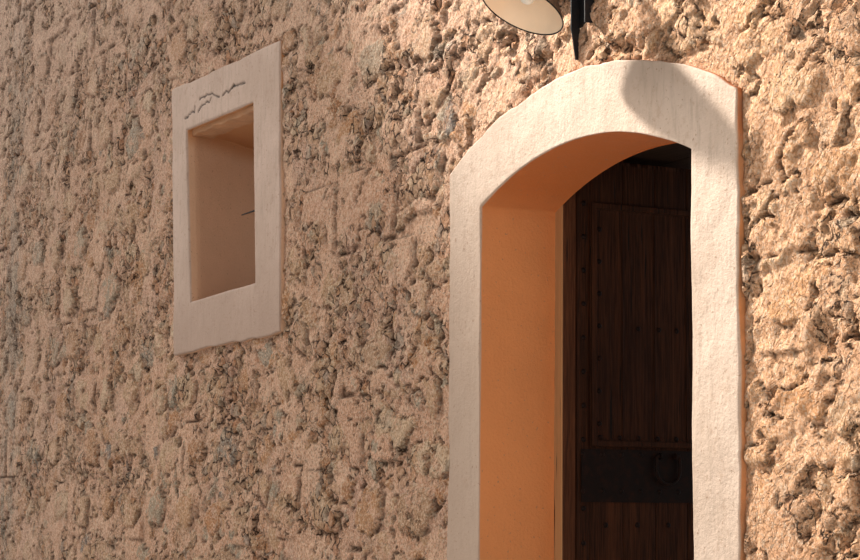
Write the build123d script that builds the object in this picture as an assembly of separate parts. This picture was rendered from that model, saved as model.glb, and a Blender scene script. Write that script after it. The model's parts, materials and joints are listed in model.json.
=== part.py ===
from build123d import *
from math import cos, pi, sin
from random import Random
import os

# Arched doorway and small window in a rubble wall, in millimetres.
# X runs along the wall with 0 on the doorway's centre line, Y runs into the wall, Z is up from the ground.
# The origin is on the ground in the middle of the wall's thickness, under the doorway.

# The wall
wall_thickness = 950.0
wall_height = 4400.0
wall_left = 7000.0            # doorway centre to the left end
wall_right = 1700.0           # doorway centre to the right end
render_coat = 20.0            # how far the smooth plaster stands out of the rubble

# Large stones that stand out of the rubble's two faces, in rough courses
stone_proud = 18.0
stone_root = 5.0              # how far a stone's base lies in the mortar
stone_slope = 35.0            # of its flanks, in degrees from square
stone_corners = 6
stone_pitch = 400.0           # along a course on the outer face
stone_course = 280.0          # height of a course there
inner_stone_pitch = 520.0
inner_stone_course = 380.0
stone_gap = 20.0              # least mortar between two stones
stone_clear = 30.0            # to plaster, timber, openings and the lamp's bracket
least_stone = 0.7             # shortest side, as a share of its place in the course
least_corner = 0.75           # nearest corner, as a share of half a side
corner_turn = 0.25            # of a corner's share of the round
stone_wander = 0.4            # of the room beside a stone
stone_seed = 5000

# The doorway's plastered arch
door_width = 1200.0
door_springing = 2224.0
door_rise = 125.0
door_band = 212.0             # width of the plaster band round the opening
reveal_depth = 281.0          # plaster face to the back of the arch ring
plaster_arris = 8.0           # rounding of the edge between band and reveal
threshold_height = 40.0
threshold_nosing = 12.0       # rounding of its worn front edge

# The opening behind the arch ring, where the leaves turn
embrasure_shoulder = 70.0     # step behind each jamb
embrasure_splay = 50.0        # extra half width at the wall's inner face
lintel_over_crown = 81.0      # underside of the lintel above the arch's crown
lintel_height = 220.0
lintel_bearing = 140.0
bearing_margin = 40.0         # masonry joint beyond the lintel's end
beam_count = 3
beam_gap = 4.0

# The posts behind the arch ring
post_show = 50.0              # how far a post shows inside the jamb
post_depth = 49.0
post_chamfer = 6.0

# The leaves
leaf_thickness = 45.0
leaf_overlap = 40.0           # of the closed leaf behind its post
leaf_behind_post = 16.0       # outer face of the closed leaf behind the post's back
leaf_edge_clearance = 6.0     # heel of the open leaf behind the post's back
heel_radius = 15.0
meeting_gap = 10.0            # between the two closed leaves
leaf_top_gap = 24.0
leaf_bottom_gap = 8.0
open_angle = 90.0

# Round pins at the leaf's heel, in sockets in the threshold and the lintel
pivot_radius = 12.0
pivot_clearance = 0.1
socket_depth = 25.0
socket_floor_gap = 3.0

# The ladder frame on the leaf's inner side
frame_thickness = 25.0
frame_stile = 80.0
frame_rail = 100.0
frame_heel_inset = 60.0
frame_free_inset = 10.0
frame_end_inset = 20.0
frame_rails = 5

# The iron band across the leaf's outer face
band_low = 1274.0
band_height = 172.0
band_thickness = 4.0

# The bead round the leaf's upper panel, and the panel sunk inside it
bead_inset = 53.0             # leaf's edge to the bead
bead_width = 20.0
bead_thickness = 11.0
bead_round = 4.0
bead_over_band = 9.0
top_rail = 144.0              # leaf's top to the bead
panel_recess = 5.0

# The drop handles
handle_from_hinge = 344.0     # hinge edge of the leaf to the handle's middle
handle_below_band_top = 19.0  # the axis it swings about
handle_width = 92.0           # between the bar's centre lines
handle_leg = 46.0             # straight stretch above the round bottom
handle_bar = 11.0
handle_corner = 8.0
handle_stub = 12.0            # how far each end turns in beyond the corner
handle_standoff = 17.0        # axis in front of the leaf's face
staple_width = 8.0
staple_eye = 22.0
staple_shank = 10.0
staple_clearance = 0.5

# The window, whose sides and edges lean as built
window_x = -2945.0            # middle of the sill
window_sill = 2158.0
window_height = 780.0
window_low_width = 765.0
window_top_width = 807.0
window_lean = 88.0            # middle of the head to the left of the sill's
window_sill_rise = 10.0       # from left to right
window_head_fall = 19.0       # from left to right
window_edge_depth = 40.0      # plaster face to where the sides open out
window_splay = 335.0
window_splay_depth = 440.0
surround_left = 203.0
surround_right = 279.0
surround_flare = 10.0         # extra width at each end of the head
surround_below = 226.0
surround_above = 217.0
surround_head_fall = 17.0     # more than the head's own
window_joint_left = 200.0     # masonry joint beyond the splay
window_joint_right = 130.0

# The forged iron spike in the window's right side
spike_above_sill = 329.0
spike_behind_edge = 15.0
spike_length = 300.0
spike_root_side = 13.0
spike_tip_side = 4.0

# The wall lamp over the arch
lamp_x = 50.0
bracket_over_band = 130.0     # lower end above the plaster band
bracket_width = 83.0
bracket_web = 4.0
bracket_flange = 31.0
bracket_over_arm = 100.0
tongue_radius = 16.0
tail_length = 97.0
tail_tip = 15.0
shade_radius = 132.7
shade_neck_radius = 32.0
shade_length = 120.0
shade_wall = 2.5
shade_bead = 3.0
shade_tilt = 27.2             # of the shade's axis out from straight down
rim_out = 215.0               # rim's centre in front of the plaster face
rim_over_bracket_low = 20.0
holder_length = 90.0
holder_in_neck = 20.0
bulb_radius = 24.0
bulb_cap_radius = 13.5
bulb_in_shade = 43.0          # rim to the bulb's centre
arm_radius = 11.0
arm_rise = 45.0               # along the shade's axis before the bend
arm_bend = 32.0
arm_flange_radius = 15.0
arm_flange = 5.0
arm_flange_gap = 1.0          # to the bracket's right flange

# Worked out for the wall and the doorway
y_face = -wall_thickness / 2
y_rubble = y_face + render_coat
y_back = wall_thickness / 2
y_inner = y_back - stone_proud
half = door_width / 2
crown = door_springing + door_rise
arch_radius = (half ** 2 + door_rise ** 2) / (2 * door_rise)
arch_centre = crown - arch_radius
y_ring = y_face + reveal_depth
y_post = y_ring + post_depth
lintel_under = crown + lintel_over_crown
lintel_top = lintel_under + lintel_height

# Worked out for a leaf as it stands shut
leaf_bottom = threshold_height + leaf_bottom_gap
leaf_top = lintel_under - leaf_top_gap
heel_x = -half + post_show - leaf_overlap
free_x = -meeting_gap / 2
leaf_face = y_post + leaf_behind_post
leaf_back = leaf_face + leaf_thickness
band_top = band_low + band_height

# The pivot is where a quarter turn brings the outer face in line with the post's side
face_open = -half + post_show
heel_open = y_post + leaf_edge_clearance
pivot_y = (face_open + leaf_face + heel_open - heel_x) / 2
pivot_x = face_open + leaf_face - pivot_y


def block(x0, x1, y0, y1, z0, z1):
    return Pos((x0 + x1) / 2, (y0 + y1) / 2, (z0 + z1) / 2) * Box(x1 - x0, y1 - y0, z1 - z0)


def upright(points, y0, y1):
    """A polygon of (x, z) points stretched from y0 to y1."""
    outline = Polyline(*[(x, y0, z) for x, z in points], close=True)
    return extrude(make_face(outline), amount=y1 - y0, dir=(0, 1, 0))


def flat(points, z0, z1):
    """A polygon of (x, y) points stretched from z0 to z1."""
    outline = Polyline(*[(x, y, z0) for x, y in points], close=True)
    return extrude(make_face(outline), amount=z1 - z0, dir=(0, 0, 1))


def disc(radius, y0, y1):
    """A cylinder about the arch's centre line."""
    return Pos(0, (y0 + y1) / 2, arch_centre) * Rot(90, 0, 0) * Cylinder(radius, y1 - y0)


def arch_opening(offset, y0, y1):
    """The doorway's clear shape from the ground up, grown by an offset."""
    width = half + offset
    top = crown + offset
    radius = arch_radius + offset
    spring = arch_centre + (radius ** 2 - width ** 2) ** 0.5
    head = disc(radius, y0, y1) & block(-width, width, y0, y1, spring, top)
    return head + block(-width, width, y0, y1, 0, spring)


nodes = {}

# Doorway openings in the masonry
embrasure_near = half + embrasure_shoulder
embrasure_far = embrasure_near + embrasure_splay
embrasure_plan = [
    (-embrasure_near, y_ring), (embrasure_near, y_ring),
    (embrasure_far, y_back), (-embrasure_far, y_back),
]
pocket_half = embrasure_near + lintel_bearing
door_void = arch_opening(render_coat, y_rubble, y_ring)
door_void += flat(embrasure_plan, 0, lintel_under)
door_void += block(-pocket_half, pocket_half, y_ring, y_back, lintel_under, lintel_top)


def window_corners(left=0.0, right=0.0, below=0.0, above=0.0, flare=0.0, fall=0.0):
    """The window's outline from the sill's left end round to the head's, grown on each side."""
    head_x = window_x - window_lean
    low_half = window_low_width / 2
    top_half = window_top_width / 2
    head = window_sill + window_height + above
    half_fall = (window_head_fall + fall) / 2
    return [
        (window_x - low_half - left, window_sill - window_sill_rise / 2 - below),
        (window_x + low_half + right, window_sill + window_sill_rise / 2 - below),
        (head_x + top_half + right + flare, head - half_fall),
        (head_x - top_half - left - flare, head + half_fall),
    ]


# The window runs in square, then its sides open out, then it runs square again
window_quad = window_corners()
window_wide = window_corners(left=window_splay, right=window_splay)
y_edge = y_face + window_edge_depth
y_wide = y_edge + window_splay_depth
near_face = make_face(Polyline(*[(x, y_edge, z) for x, z in window_quad], close=True))
wide_face = make_face(Polyline(*[(x, y_wide, z) for x, z in window_wide], close=True))
window_void = upright(window_quad, y_rubble, y_edge)
window_void += loft([near_face, wide_face], ruled=True)
window_void += upright(window_wide, y_wide, y_back)

masonry = block(-wall_left, wall_right, y_rubble, y_inner, 0, wall_height)
masonry = masonry - door_void - window_void


def part_of_wall(x0, x1, z0, z1):
    return masonry & block(x0, x1, y_rubble, y_inner, z0, z1)


# The masonry in blocks beside, under and over each opening
x_before = window_wide[3][0] - window_joint_left
x_after = window_wide[1][0] + window_joint_right
x_mid = (window_quad[3][0] + window_quad[2][0]) / 2
sill_joint = window_quad[1][1]
head_joint = window_quad[2][1]
pier = pocket_half + bearing_margin
nodes["wall_left_end"] = part_of_wall(-wall_left, x_before, 0, wall_height)
nodes["wall_under_window"] = part_of_wall(x_before, x_after, 0, sill_joint)
nodes["wall_left_of_window"] = part_of_wall(x_before, x_mid, sill_joint, head_joint)
nodes["wall_right_of_window"] = part_of_wall(x_mid, x_after, sill_joint, head_joint)
nodes["wall_over_window"] = part_of_wall(x_before, x_after, head_joint, wall_height)
nodes["wall_between"] = part_of_wall(x_after, -pier, 0, wall_height)
nodes["door_pier_left"] = part_of_wall(-pier, -half, 0, door_springing)
nodes["door_pier_right"] = part_of_wall(half, pier, 0, door_springing)
nodes["wall_over_door"] = part_of_wall(-pier, pier, door_springing, wall_height)
nodes["wall_right_end"] = part_of_wall(pier, wall_right, 0, wall_height)

# The lamp's axis runs up through the shade and holder, with its origin in the rim
bracket_low = crown + door_band + bracket_over_band
rim_height = bracket_low + rim_over_bracket_low
axis_up = Plane(
    origin=(lamp_x, y_face - rim_out, rim_height), x_dir=(1, 0, 0),
    z_dir=Vector(0, 0, 1).rotate(Axis.X, -shade_tilt),
)
holder_low = shade_length - holder_in_neck
holder_top = holder_low + holder_length
arm_start = axis_up.origin + axis_up.z_dir * holder_top
arm_knee = arm_start + axis_up.z_dir * arm_rise
y_web = y_rubble - bracket_web
bracket_high = arm_knee.Z + bracket_over_arm
bracket_right = lamp_x + arm_flange_radius + arm_flange_gap + bracket_web
bracket_left = bracket_right - bracket_width

# The window's surround
surround_quad = window_corners(
    surround_left, surround_right, surround_below, surround_above, surround_flare, surround_head_fall
)


def around(points):
    """The smallest upright rectangle round some points, as x0, x1, z0, z1."""
    xs = [x for x, z in points]
    zs = [z for x, z in points]
    return min(xs), max(xs), min(zs), max(zs)


outer_clear = [
    (-half - door_band, half + door_band, 0, crown + door_band),
    (bracket_left, bracket_right, bracket_low - tail_length, bracket_high),
    around(surround_quad),
]
inner_clear = [
    (-embrasure_far, embrasure_far, 0, lintel_under),
    (-pocket_half, pocket_half, lintel_under, lintel_top),
    around(window_wide),
]


def meets(x, z, width, height, rectangle):
    """Whether a stone would come too near a rectangle."""
    x0, x1, z0, z1 = rectangle
    across = abs(2 * x - x0 - x1) < x1 - x0 + width + 2 * stone_clear
    return across and abs(2 * z - z0 - z1) < z1 - z0 + height + 2 * stone_clear


def stone(chance, x, z, width, height, y, out):
    """A low stone with uneven corners and sloping flanks, whose base lies inside the wall's face."""
    corners = []
    for k in range(stone_corners):
        turn = 2 * pi * (k + chance.uniform(-corner_turn, corner_turn)) / stone_corners
        reach = chance.uniform(least_corner, 1) / 2
        corners.append((x + width * reach * cos(turn), y - out * stone_root, z + height * reach * sin(turn)))
    base = make_face(Polyline(*corners, close=True))
    return extrude(base, amount=stone_root + stone_proud, dir=(0, out, 0), taper=stone_slope)


def stones_on(block_box, seed, y, out, pitch, course, kept_clear):
    """Stones over one face of a block of masonry, staggered from course to course."""
    low, high = block_box.min, block_box.max
    columns = max(1, round((high.X - low.X) / pitch))
    courses = max(1, round((high.Z - low.Z) / course))
    step_x = (high.X - low.X) / columns
    step_z = (high.Z - low.Z) / courses
    stones = []
    for j in range(courses):
        stagger = j % 2
        for i in range(columns - stagger):
            chance = Random(seed + courses * i + j)
            width = (step_x - stone_gap) * chance.uniform(least_stone, 1)
            height = (step_z - stone_gap) * chance.uniform(least_stone, 1)
            aside = (step_x - width) * chance.uniform(-stone_wander, stone_wander)
            above = (step_z - height) * chance.uniform(-stone_wander, stone_wander)
            x = low.X + step_x * (i + (1 + stagger) / 2) + aside
            z = low.Z + step_z * (j + 1 / 2) + above
            if not any(meets(x, z, width, height, rectangle) for rectangle in kept_clear):
                stones.append(stone(chance, x, z, width, height, y, out))
    return stones


stone_faced = ["left_end", "under_window", "over_window", "between", "over_door", "right_end"]
for n, name in enumerate(stone_faced):
    plain = nodes["wall_" + name]
    extent = plain.bounding_box()
    seed = 2 * stone_seed * n
    stones = stones_on(extent, seed, y_rubble, -1, stone_pitch, stone_course, outer_clear)
    seed += stone_seed
    stones += stones_on(extent, seed, y_inner, 1, inner_stone_pitch, inner_stone_course, inner_clear)
    nodes["wall_" + name] = plain + stones


def door_plaster():
    """A band on the face that turns into the reveal with a rounded edge."""
    band = arch_opening(door_band, y_face, y_rubble)
    lining = arch_opening(render_coat, y_rubble, y_ring)
    plaster = band + lining - arch_opening(0, y_face, y_ring)
    outer = half + door_band
    reach = half + plaster_arris
    near = plaster.edges().filter_by_position(Axis.Y, y_face, y_face)
    arris = [e for e in near if abs(e.center().X) < reach and e.center().Z < crown + plaster_arris]
    arris = [e for e in arris if e.length < 2 * arch_radius and e.bounding_box().size.Z > 1]
    plaster = fillet(arris, plaster_arris)
    left = plaster & block(-outer, -half + plaster_arris, y_face, y_ring, 0, door_springing)
    arch = plaster & block(-outer, outer, y_face, y_ring, door_springing, crown + door_band)
    return left, arch


plaster_left, plaster_arch = door_plaster()
nodes["door_plaster_left"] = plaster_left
nodes["door_plaster_right"] = mirror(plaster_left, about=Plane.YZ)
nodes["door_plaster_arch"] = plaster_arch

# Plaster round the window, in four strips that meet at its corners
for i, side in enumerate(["sill", "right", "head", "left"]):
    j = (i + 1) % 4
    strip = [surround_quad[i], surround_quad[j], window_quad[j], window_quad[i]]
    nodes["window_plaster_" + side] = upright(strip, y_face, y_rubble)


def pivot_socket(z0, z1):
    """The two round sockets in which the leaves' pins turn."""
    socket = Pos(pivot_x, pivot_y, (z0 + z1) / 2) * Cylinder(pivot_radius + pivot_clearance, z1 - z0)
    return socket + mirror(socket, about=Plane.YZ)


def threshold():
    step = block(-half, half, y_face, y_ring, 0, threshold_height)
    step += flat(embrasure_plan, 0, threshold_height)
    nose = step.edges().filter_by(Axis.X).filter_by_position(Axis.Y, y_face, y_face).sort_by(Axis.Z)[-1]
    step = fillet(nose, threshold_nosing)
    return step - pivot_socket(threshold_height - socket_depth, threshold_height)


def frame_post():
    post = block(-embrasure_near, face_open, y_ring, y_post, threshold_height, lintel_under)
    corner = post.edges().filter_by(Axis.Z).sort_by_distance((face_open, y_ring, lintel_under / 2))[0]
    return chamfer(corner, post_chamfer)


nodes["threshold"] = threshold()
nodes["frame_post_left"] = frame_post()
nodes["frame_post_right"] = mirror(nodes["frame_post_left"], about=Plane.YZ)

# The lintel's beams lie side by side, and the outer one takes the pins
beam_width = (y_back - y_ring - (beam_count - 1) * beam_gap) / beam_count
for i, name in enumerate(["outer", "middle", "inner"]):
    y0 = y_ring + i * (beam_width + beam_gap)
    beam = block(-pocket_half, pocket_half, y0, y0 + beam_width, lintel_under, lintel_top)
    if name == "outer":
        beam = beam - pivot_socket(lintel_under, lintel_under + socket_depth)
    nodes["lintel_beam_" + name] = beam

# The bead's outer rectangle on the leaf
bead_x0 = heel_x + bead_inset
bead_x1 = free_x - bead_inset
bead_z0 = band_top + bead_over_band
bead_z1 = leaf_top - top_rail


def leaf():
    """One plank leaf with a rounded heel, a sunk upper panel and a pin at each end of the heel."""
    slab = block(heel_x, free_x, leaf_face, leaf_back, leaf_bottom, leaf_top)
    heel = slab.edges().filter_by(Axis.Z).sort_by_distance((heel_x, leaf_face, leaf_top / 2))[0]
    slab = fillet(heel, heel_radius)
    slab -= block(
        bead_x0 + bead_width, bead_x1 - bead_width, leaf_face, leaf_face + panel_recess,
        bead_z0 + bead_width, bead_z1 - bead_width,
    )
    pin_low = threshold_height - socket_depth + socket_floor_gap
    pin_high = lintel_under + socket_depth - socket_floor_gap
    for z0, z1 in ((pin_low, leaf_bottom), (leaf_top, pin_high)):
        slab += Pos(pivot_x, pivot_y, (z0 + z1) / 2) * Cylinder(pivot_radius, z1 - z0)
    return slab


def leaf_frame():
    """Two stiles and evenly spaced rails on the inner side."""
    x0 = heel_x + frame_heel_inset
    x1 = free_x - frame_free_inset
    z0 = leaf_bottom + frame_end_inset
    z1 = leaf_top - frame_end_inset
    y1 = leaf_back + frame_thickness
    frame = block(x0, x1, leaf_back, y1, z0, z1)
    bay = (z1 - z0 - frame_rails * frame_rail) / (frame_rails - 1)
    for i in range(frame_rails - 1):
        low = z0 + frame_rail + i * (frame_rail + bay)
        frame -= block(x0 + frame_stile, x1 - frame_stile, leaf_back, y1, low, low + bay)
    return frame


def leaf_moulding():
    """The bead, rounded along both edges of its face."""
    y0 = leaf_face - bead_thickness
    ring = block(bead_x0, bead_x1, y0, leaf_face, bead_z0, bead_z1)
    ring -= block(
        bead_x0 + bead_width, bead_x1 - bead_width, y0, leaf_face,
        bead_z0 + bead_width, bead_z1 - bead_width,
    )
    return fillet(ring.faces().sort_by(Axis.Y)[0].edges(), bead_round)


handle_x = heel_x + handle_from_hinge
handle_y = leaf_face - handle_standoff
handle_z = band_top - handle_below_band_top
handle_reach = handle_width / 2
stub_end = handle_reach - handle_corner - handle_stub


def drop_handle():
    """A round bar bent to a U, whose ends turn in through the staples."""
    turn_z = handle_z - handle_leg
    sides = []
    for s in (-1, 1):
        stub = (handle_x + s * stub_end, handle_y, handle_z)
        corner = (handle_x + s * handle_reach, handle_y, handle_z)
        leg_end = (handle_x + s * handle_reach, handle_y, turn_z)
        sides.append([stub, corner, leg_end])
    first = FilletPolyline(*sides[0], radius=handle_corner)
    bottom = (handle_x, handle_y, turn_z - handle_reach)
    bend = ThreePointArc(sides[0][2], bottom, sides[1][2])
    last = FilletPolyline(*reversed(sides[1]), radius=handle_corner)
    path = first + bend + last
    section = Plane(origin=sides[0][0], z_dir=(-1, 0, 0)) * Circle(handle_bar / 2)
    return sweep(section, path=path)


def handle_staple(s):
    """An eye on a short shank that stands on the iron band."""
    x = handle_x + s * (stub_end + staple_width / 2)
    across = Pos(x, handle_y, handle_z) * Rot(0, 90, 0)
    w = staple_width / 2
    h = staple_shank / 2
    staple = across * Cylinder(staple_eye / 2, staple_width)
    staple += block(x - w, x + w, handle_y, leaf_face - band_thickness, handle_z - h, handle_z + h)
    return staple - across * Cylinder(handle_bar / 2 + staple_clearance, staple_width * 2)


# The left leaf and what it carries, drawn shut, then turned open and mirrored for the right
shut = {
    "leaf": leaf(),
    "leaf_frame": leaf_frame(),
    "leaf_moulding": leaf_moulding(),
    "lock_band": block(heel_x + heel_radius, free_x, leaf_face - band_thickness, leaf_face, band_low, band_top),
    "drop_handle": drop_handle(),
    "handle_staple_hinge_side": handle_staple(-1),
    "handle_staple_free_side": handle_staple(1),
}
swing = Axis((pivot_x, pivot_y, 0), (0, 0, 1))
for name, solid in shut.items():
    turned = solid.rotate(swing, open_angle)
    nodes["left_" + name] = turned
    nodes["right_" + name] = mirror(turned, about=Plane.YZ)


def window_spike():
    """A square bar drawn out to a point, cut off flush with the window's right side."""
    z = window_sill + spike_above_sill
    y = y_edge + spike_behind_edge
    x = window_quad[1][0] + window_splay
    root = Plane(origin=(x, y, z), x_dir=(0, 1, 0), z_dir=(-1, 0, 0))
    tip = root.offset(spike_length + window_splay)
    bar = loft([root * Rectangle(spike_root_side, spike_root_side), tip * Rectangle(spike_tip_side, spike_tip_side)])
    return bar & window_void


nodes["window_spike"] = window_spike()


def lamp_shade():
    """A thin spun cone with a rolled rim."""
    mid_radius = (shade_radius + shade_neck_radius) / 2 + shade_length / 16
    lines = []
    for inset in (0, shade_wall):
        points = [(shade_radius - inset, 0), (mid_radius - inset, shade_length / 2), (shade_neck_radius - inset, shade_length)]
        lines.append(Spline(*points))
    outer, inner = lines
    profile = make_face([outer, Line(outer @ 1, inner @ 1), inner, Line(inner @ 0, outer @ 0)])
    shade = revolve(Plane.XZ * profile, axis=Axis.Z)
    return axis_up * (shade + Torus(shade_radius - shade_wall / 2, shade_bead))


def lamp_bulb():
    bulb = Pos(0, 0, bulb_in_shade) * Sphere(bulb_radius)
    bulb += Pos(0, 0, (bulb_in_shade + holder_low) / 2) * Cylinder(bulb_cap_radius, holder_low - bulb_in_shade)
    return axis_up * bulb


def lamp_arm():
    """A tube bent over from the holder to a round flange on the bracket."""
    end = (lamp_x, y_web - arm_flange, arm_knee.Z)
    path = FilletPolyline(tuple(arm_start), tuple(arm_knee), end, radius=arm_bend)
    tube = sweep(Plane(origin=arm_start, z_dir=axis_up.z_dir) * Circle(arm_radius), path=path)
    flange = Pos(lamp_x, y_web - arm_flange / 2, arm_knee.Z) * Rot(90, 0, 0) * Cylinder(arm_flange_radius, arm_flange)
    return tube + flange


def lamp_bracket():
    """A channel on the wall with a round tongue below, whose left flange runs down to a tapered tail."""
    y0 = y_rubble - bracket_flange
    channel = block(bracket_left, bracket_right, y_web, y_rubble, bracket_low, bracket_high)
    channel += block(bracket_right - bracket_web, bracket_right, y0, y_rubble, bracket_low, bracket_high)
    tongue_x = bracket_right - tongue_radius - bracket_web
    channel += Pos(tongue_x, (y_web + y_rubble) / 2, bracket_low) * Rot(90, 0, 0) * Cylinder(tongue_radius, bracket_web)
    side = [
        (y_rubble, bracket_low - tail_length), (y_rubble - tail_tip, bracket_low - tail_length),
        (y0, bracket_low), (y0, bracket_high), (y_rubble, bracket_high),
    ]
    outline = Polyline(*[(bracket_left, y, z) for y, z in side], close=True)
    return channel + extrude(make_face(outline), amount=bracket_web, dir=(1, 0, 0))


nodes["lamp_wall_plate"] = lamp_bracket()
nodes["lamp_shade"] = lamp_shade()
nodes["lamp_holder"] = axis_up * Pos(0, 0, (holder_low + holder_top) / 2) * Cylinder(
    shade_neck_radius - shade_wall, holder_length
)
nodes["lamp_bulb"] = lamp_bulb()
nodes["lamp_arm"] = lamp_arm()

os.makedirs("parts", exist_ok=True)
for name, solid in nodes.items():
    export_step(solid, f"parts/{name}.step")

turned_handle = Vector(handle_x, handle_y, handle_z) - Vector(pivot_x, pivot_y, 0)
turned_handle = Vector(pivot_x, pivot_y, 0) + turned_handle.rotate(Axis.Z, open_angle)
print(len(nodes), "nodes")
print("leaf pivot", round(pivot_x, 2), round(pivot_y, 2), round(leaf_bottom, 2))
print("handle axis", *[round(v, 2) for v in turned_handle])
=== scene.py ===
# %% [markdown]
# An arched doorway in an old rubble wall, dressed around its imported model.
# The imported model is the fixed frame: every size and place below is read from it, in metres.
# X runs along the wall, Y runs into it, and Z is up from the ground.

import json
import math

import bpy
import numpy as np
from mathutils import Matrix, Vector


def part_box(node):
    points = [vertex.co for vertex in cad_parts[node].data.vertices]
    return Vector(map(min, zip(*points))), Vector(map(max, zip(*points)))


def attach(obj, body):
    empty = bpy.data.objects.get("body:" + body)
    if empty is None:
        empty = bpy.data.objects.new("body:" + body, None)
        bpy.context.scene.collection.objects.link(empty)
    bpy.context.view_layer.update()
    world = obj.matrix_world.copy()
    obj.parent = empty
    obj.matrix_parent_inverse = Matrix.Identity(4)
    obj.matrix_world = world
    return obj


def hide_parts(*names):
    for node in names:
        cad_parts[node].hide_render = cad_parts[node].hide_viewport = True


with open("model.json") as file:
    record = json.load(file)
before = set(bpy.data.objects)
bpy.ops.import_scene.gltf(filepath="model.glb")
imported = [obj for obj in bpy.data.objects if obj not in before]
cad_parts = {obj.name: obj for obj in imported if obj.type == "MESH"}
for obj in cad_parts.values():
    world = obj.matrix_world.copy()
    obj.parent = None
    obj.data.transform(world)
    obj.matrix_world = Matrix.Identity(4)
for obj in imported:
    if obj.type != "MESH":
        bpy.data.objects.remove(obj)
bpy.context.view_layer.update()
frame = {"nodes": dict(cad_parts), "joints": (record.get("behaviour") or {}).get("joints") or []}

# %% [markdown]
# The sizes that many pieces share come from the boxes of a few nodes. The plaster stands a little
# out of the rubble, so the wall has two front planes: face_y for plaster and rubble_y for stone.

# %% Sizes read from the frame
wall_low, wall_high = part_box("wall_left_end")
left_end, right_end = wall_low.x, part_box("wall_right_end")[1].x
wall_top = wall_high.z
rubble_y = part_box("window_plaster_sill")[1].y
inner_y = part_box("wall_left_of_window")[1].y
jamb_low, jamb_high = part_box("door_plaster_left")
face_y, ring_y = jamb_low.y, jamb_high.y
half = -jamb_high.x
band = jamb_high.x - jamb_low.x
springing = jamb_high.z
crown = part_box("door_plaster_arch")[1].z - band
rise = crown - springing
arch_radius = (half**2 + rise**2) / (2 * rise)
arch_centre = crown - arch_radius
post_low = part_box("frame_post_left")[0]
lintel_low, lintel_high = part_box("lintel_beam_outer")
threshold_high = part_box("threshold")[1]
sill_top = threshold_high.z
print("door:", round(2 * half, 3), "m wide, crown at", round(crown, 3), "m")


def strip_corners(name):
    """The four (x, z) corners of a flat plaster strip, lowest first."""
    spots = {(round(v.co.x, 4), round(v.co.z, 4)) for v in frame["nodes"][name].data.vertices}
    return sorted(spots, key=lambda spot: spot[1])


# Outlines run from the sill's left end, along the sill, up, and back along the head
sill_strip = strip_corners("window_plaster_sill")
head_strip = strip_corners("window_plaster_head")
window_outer = np.array(sorted(sill_strip[:2]) + sorted(head_strip[2:])[::-1])
window_inner = np.array(sorted(sill_strip[2:]) + sorted(head_strip[:2])[::-1])
print("window:", window_inner.round(3).tolist())

# %% [markdown]
# The camera stands low to the right of the door and looks along the wall, as in the photo. Its
# place and angles were worked out from the door's own lines, so the frame needs no shift.

# %% Camera
eye = Vector((5.0182, -3.4931, 1.2594))
yaw, pitch, roll = (math.radians(a) for a in (63.203, 6.471, 0.539))
ahead = Vector((-math.sin(yaw), math.cos(yaw), 0))
forward = ahead * math.cos(pitch) + Vector((0, 0, math.sin(pitch)))
level_right = Vector((math.cos(yaw), math.sin(yaw), 0))
level_up = level_right.cross(forward)
right = math.cos(roll) * level_right + math.sin(roll) * level_up
up = math.cos(roll) * level_up - math.sin(roll) * level_right

sensor_mm, lens_mm = 36, 83.04
camera_data = bpy.data.cameras.new("camera")
camera_data.sensor_width = sensor_mm
camera_data.lens = lens_mm
camera = bpy.data.objects.new("camera", camera_data)
bpy.context.collection.objects.link(camera)
camera.matrix_world = Matrix.Translation(eye) @ Matrix((right, up, -forward)).transposed().to_4x4()
bpy.context.scene.camera = camera
print("camera:", lens_mm, "mm lens, eye at", tuple(eye))

# %% [markdown]
# Plain studio light. A soft lamp high on the left rakes along the stones, so that their right
# flanks and the left reveal fall into shade. A spot lamp adds to it round the door, a broad one
# fills from the front, and a pale surround lights the rest.

# %% Light, floor and surround
scene = bpy.context.scene
scene.view_settings.view_transform = "Standard"
door_middle = Vector((0.6, face_y, 1.9))
over_door = Vector((1.4, face_y, 2.6))
high_left = Vector((-0.74, -0.42, 0.53))
raking = Vector((-0.79, -0.29, 0.52))


def lamp(name, kind, place, target, energy, colour, **settings):
    data = bpy.data.lights.new(name, kind)
    data.energy, data.color = energy, colour
    for key, value in settings.items():
        setattr(data, key, value)
    made = bpy.data.objects.new(name, data)
    made.location = place
    made.rotation_euler = (target - place).to_track_quat("-Z", "Y").to_euler()
    bpy.context.collection.objects.link(made)


warm_white, warm_fill = (1.0, 0.93, 0.84), (1.0, 0.90, 0.80)
sun_strength, spot_watts, fill_watts, surround_level = 1.9, 9800, 120, 0.42
sun_away, spot_away = 20, 9
lamp(
    "soft_key", "SUN", door_middle + high_left * sun_away, door_middle, sun_strength, warm_white,
    angle=math.radians(12),
)
lamp(
    "raking_spot", "SPOT", over_door + raking * spot_away, over_door, spot_watts, warm_white,
    spot_size=math.radians(31), spot_blend=1.0, shadow_soft_size=0.22,
)
lamp(
    "fill", "AREA", Vector((6.0, -2.8, 1.6)), Vector((0, ring_y, 1.6)), fill_watts, warm_fill,
    shape="DISK", size=5.0,
)
world = bpy.data.worlds.new("surround")
scene.world = world
world.use_nodes = True
background = world.node_tree.nodes["Background"].inputs
background["Color"].default_value = (0.93, 0.93, 0.94, 1)
background["Strength"].default_value = surround_level
print("light: three lamps and a surround of strength", surround_level)

# %% [markdown]
# Shader maths reads best as plain arithmetic. Value wraps one socket, so that 1 - mask adds the
# Math node by itself, and Finish keeps one material and adds any other node by its type.


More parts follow.
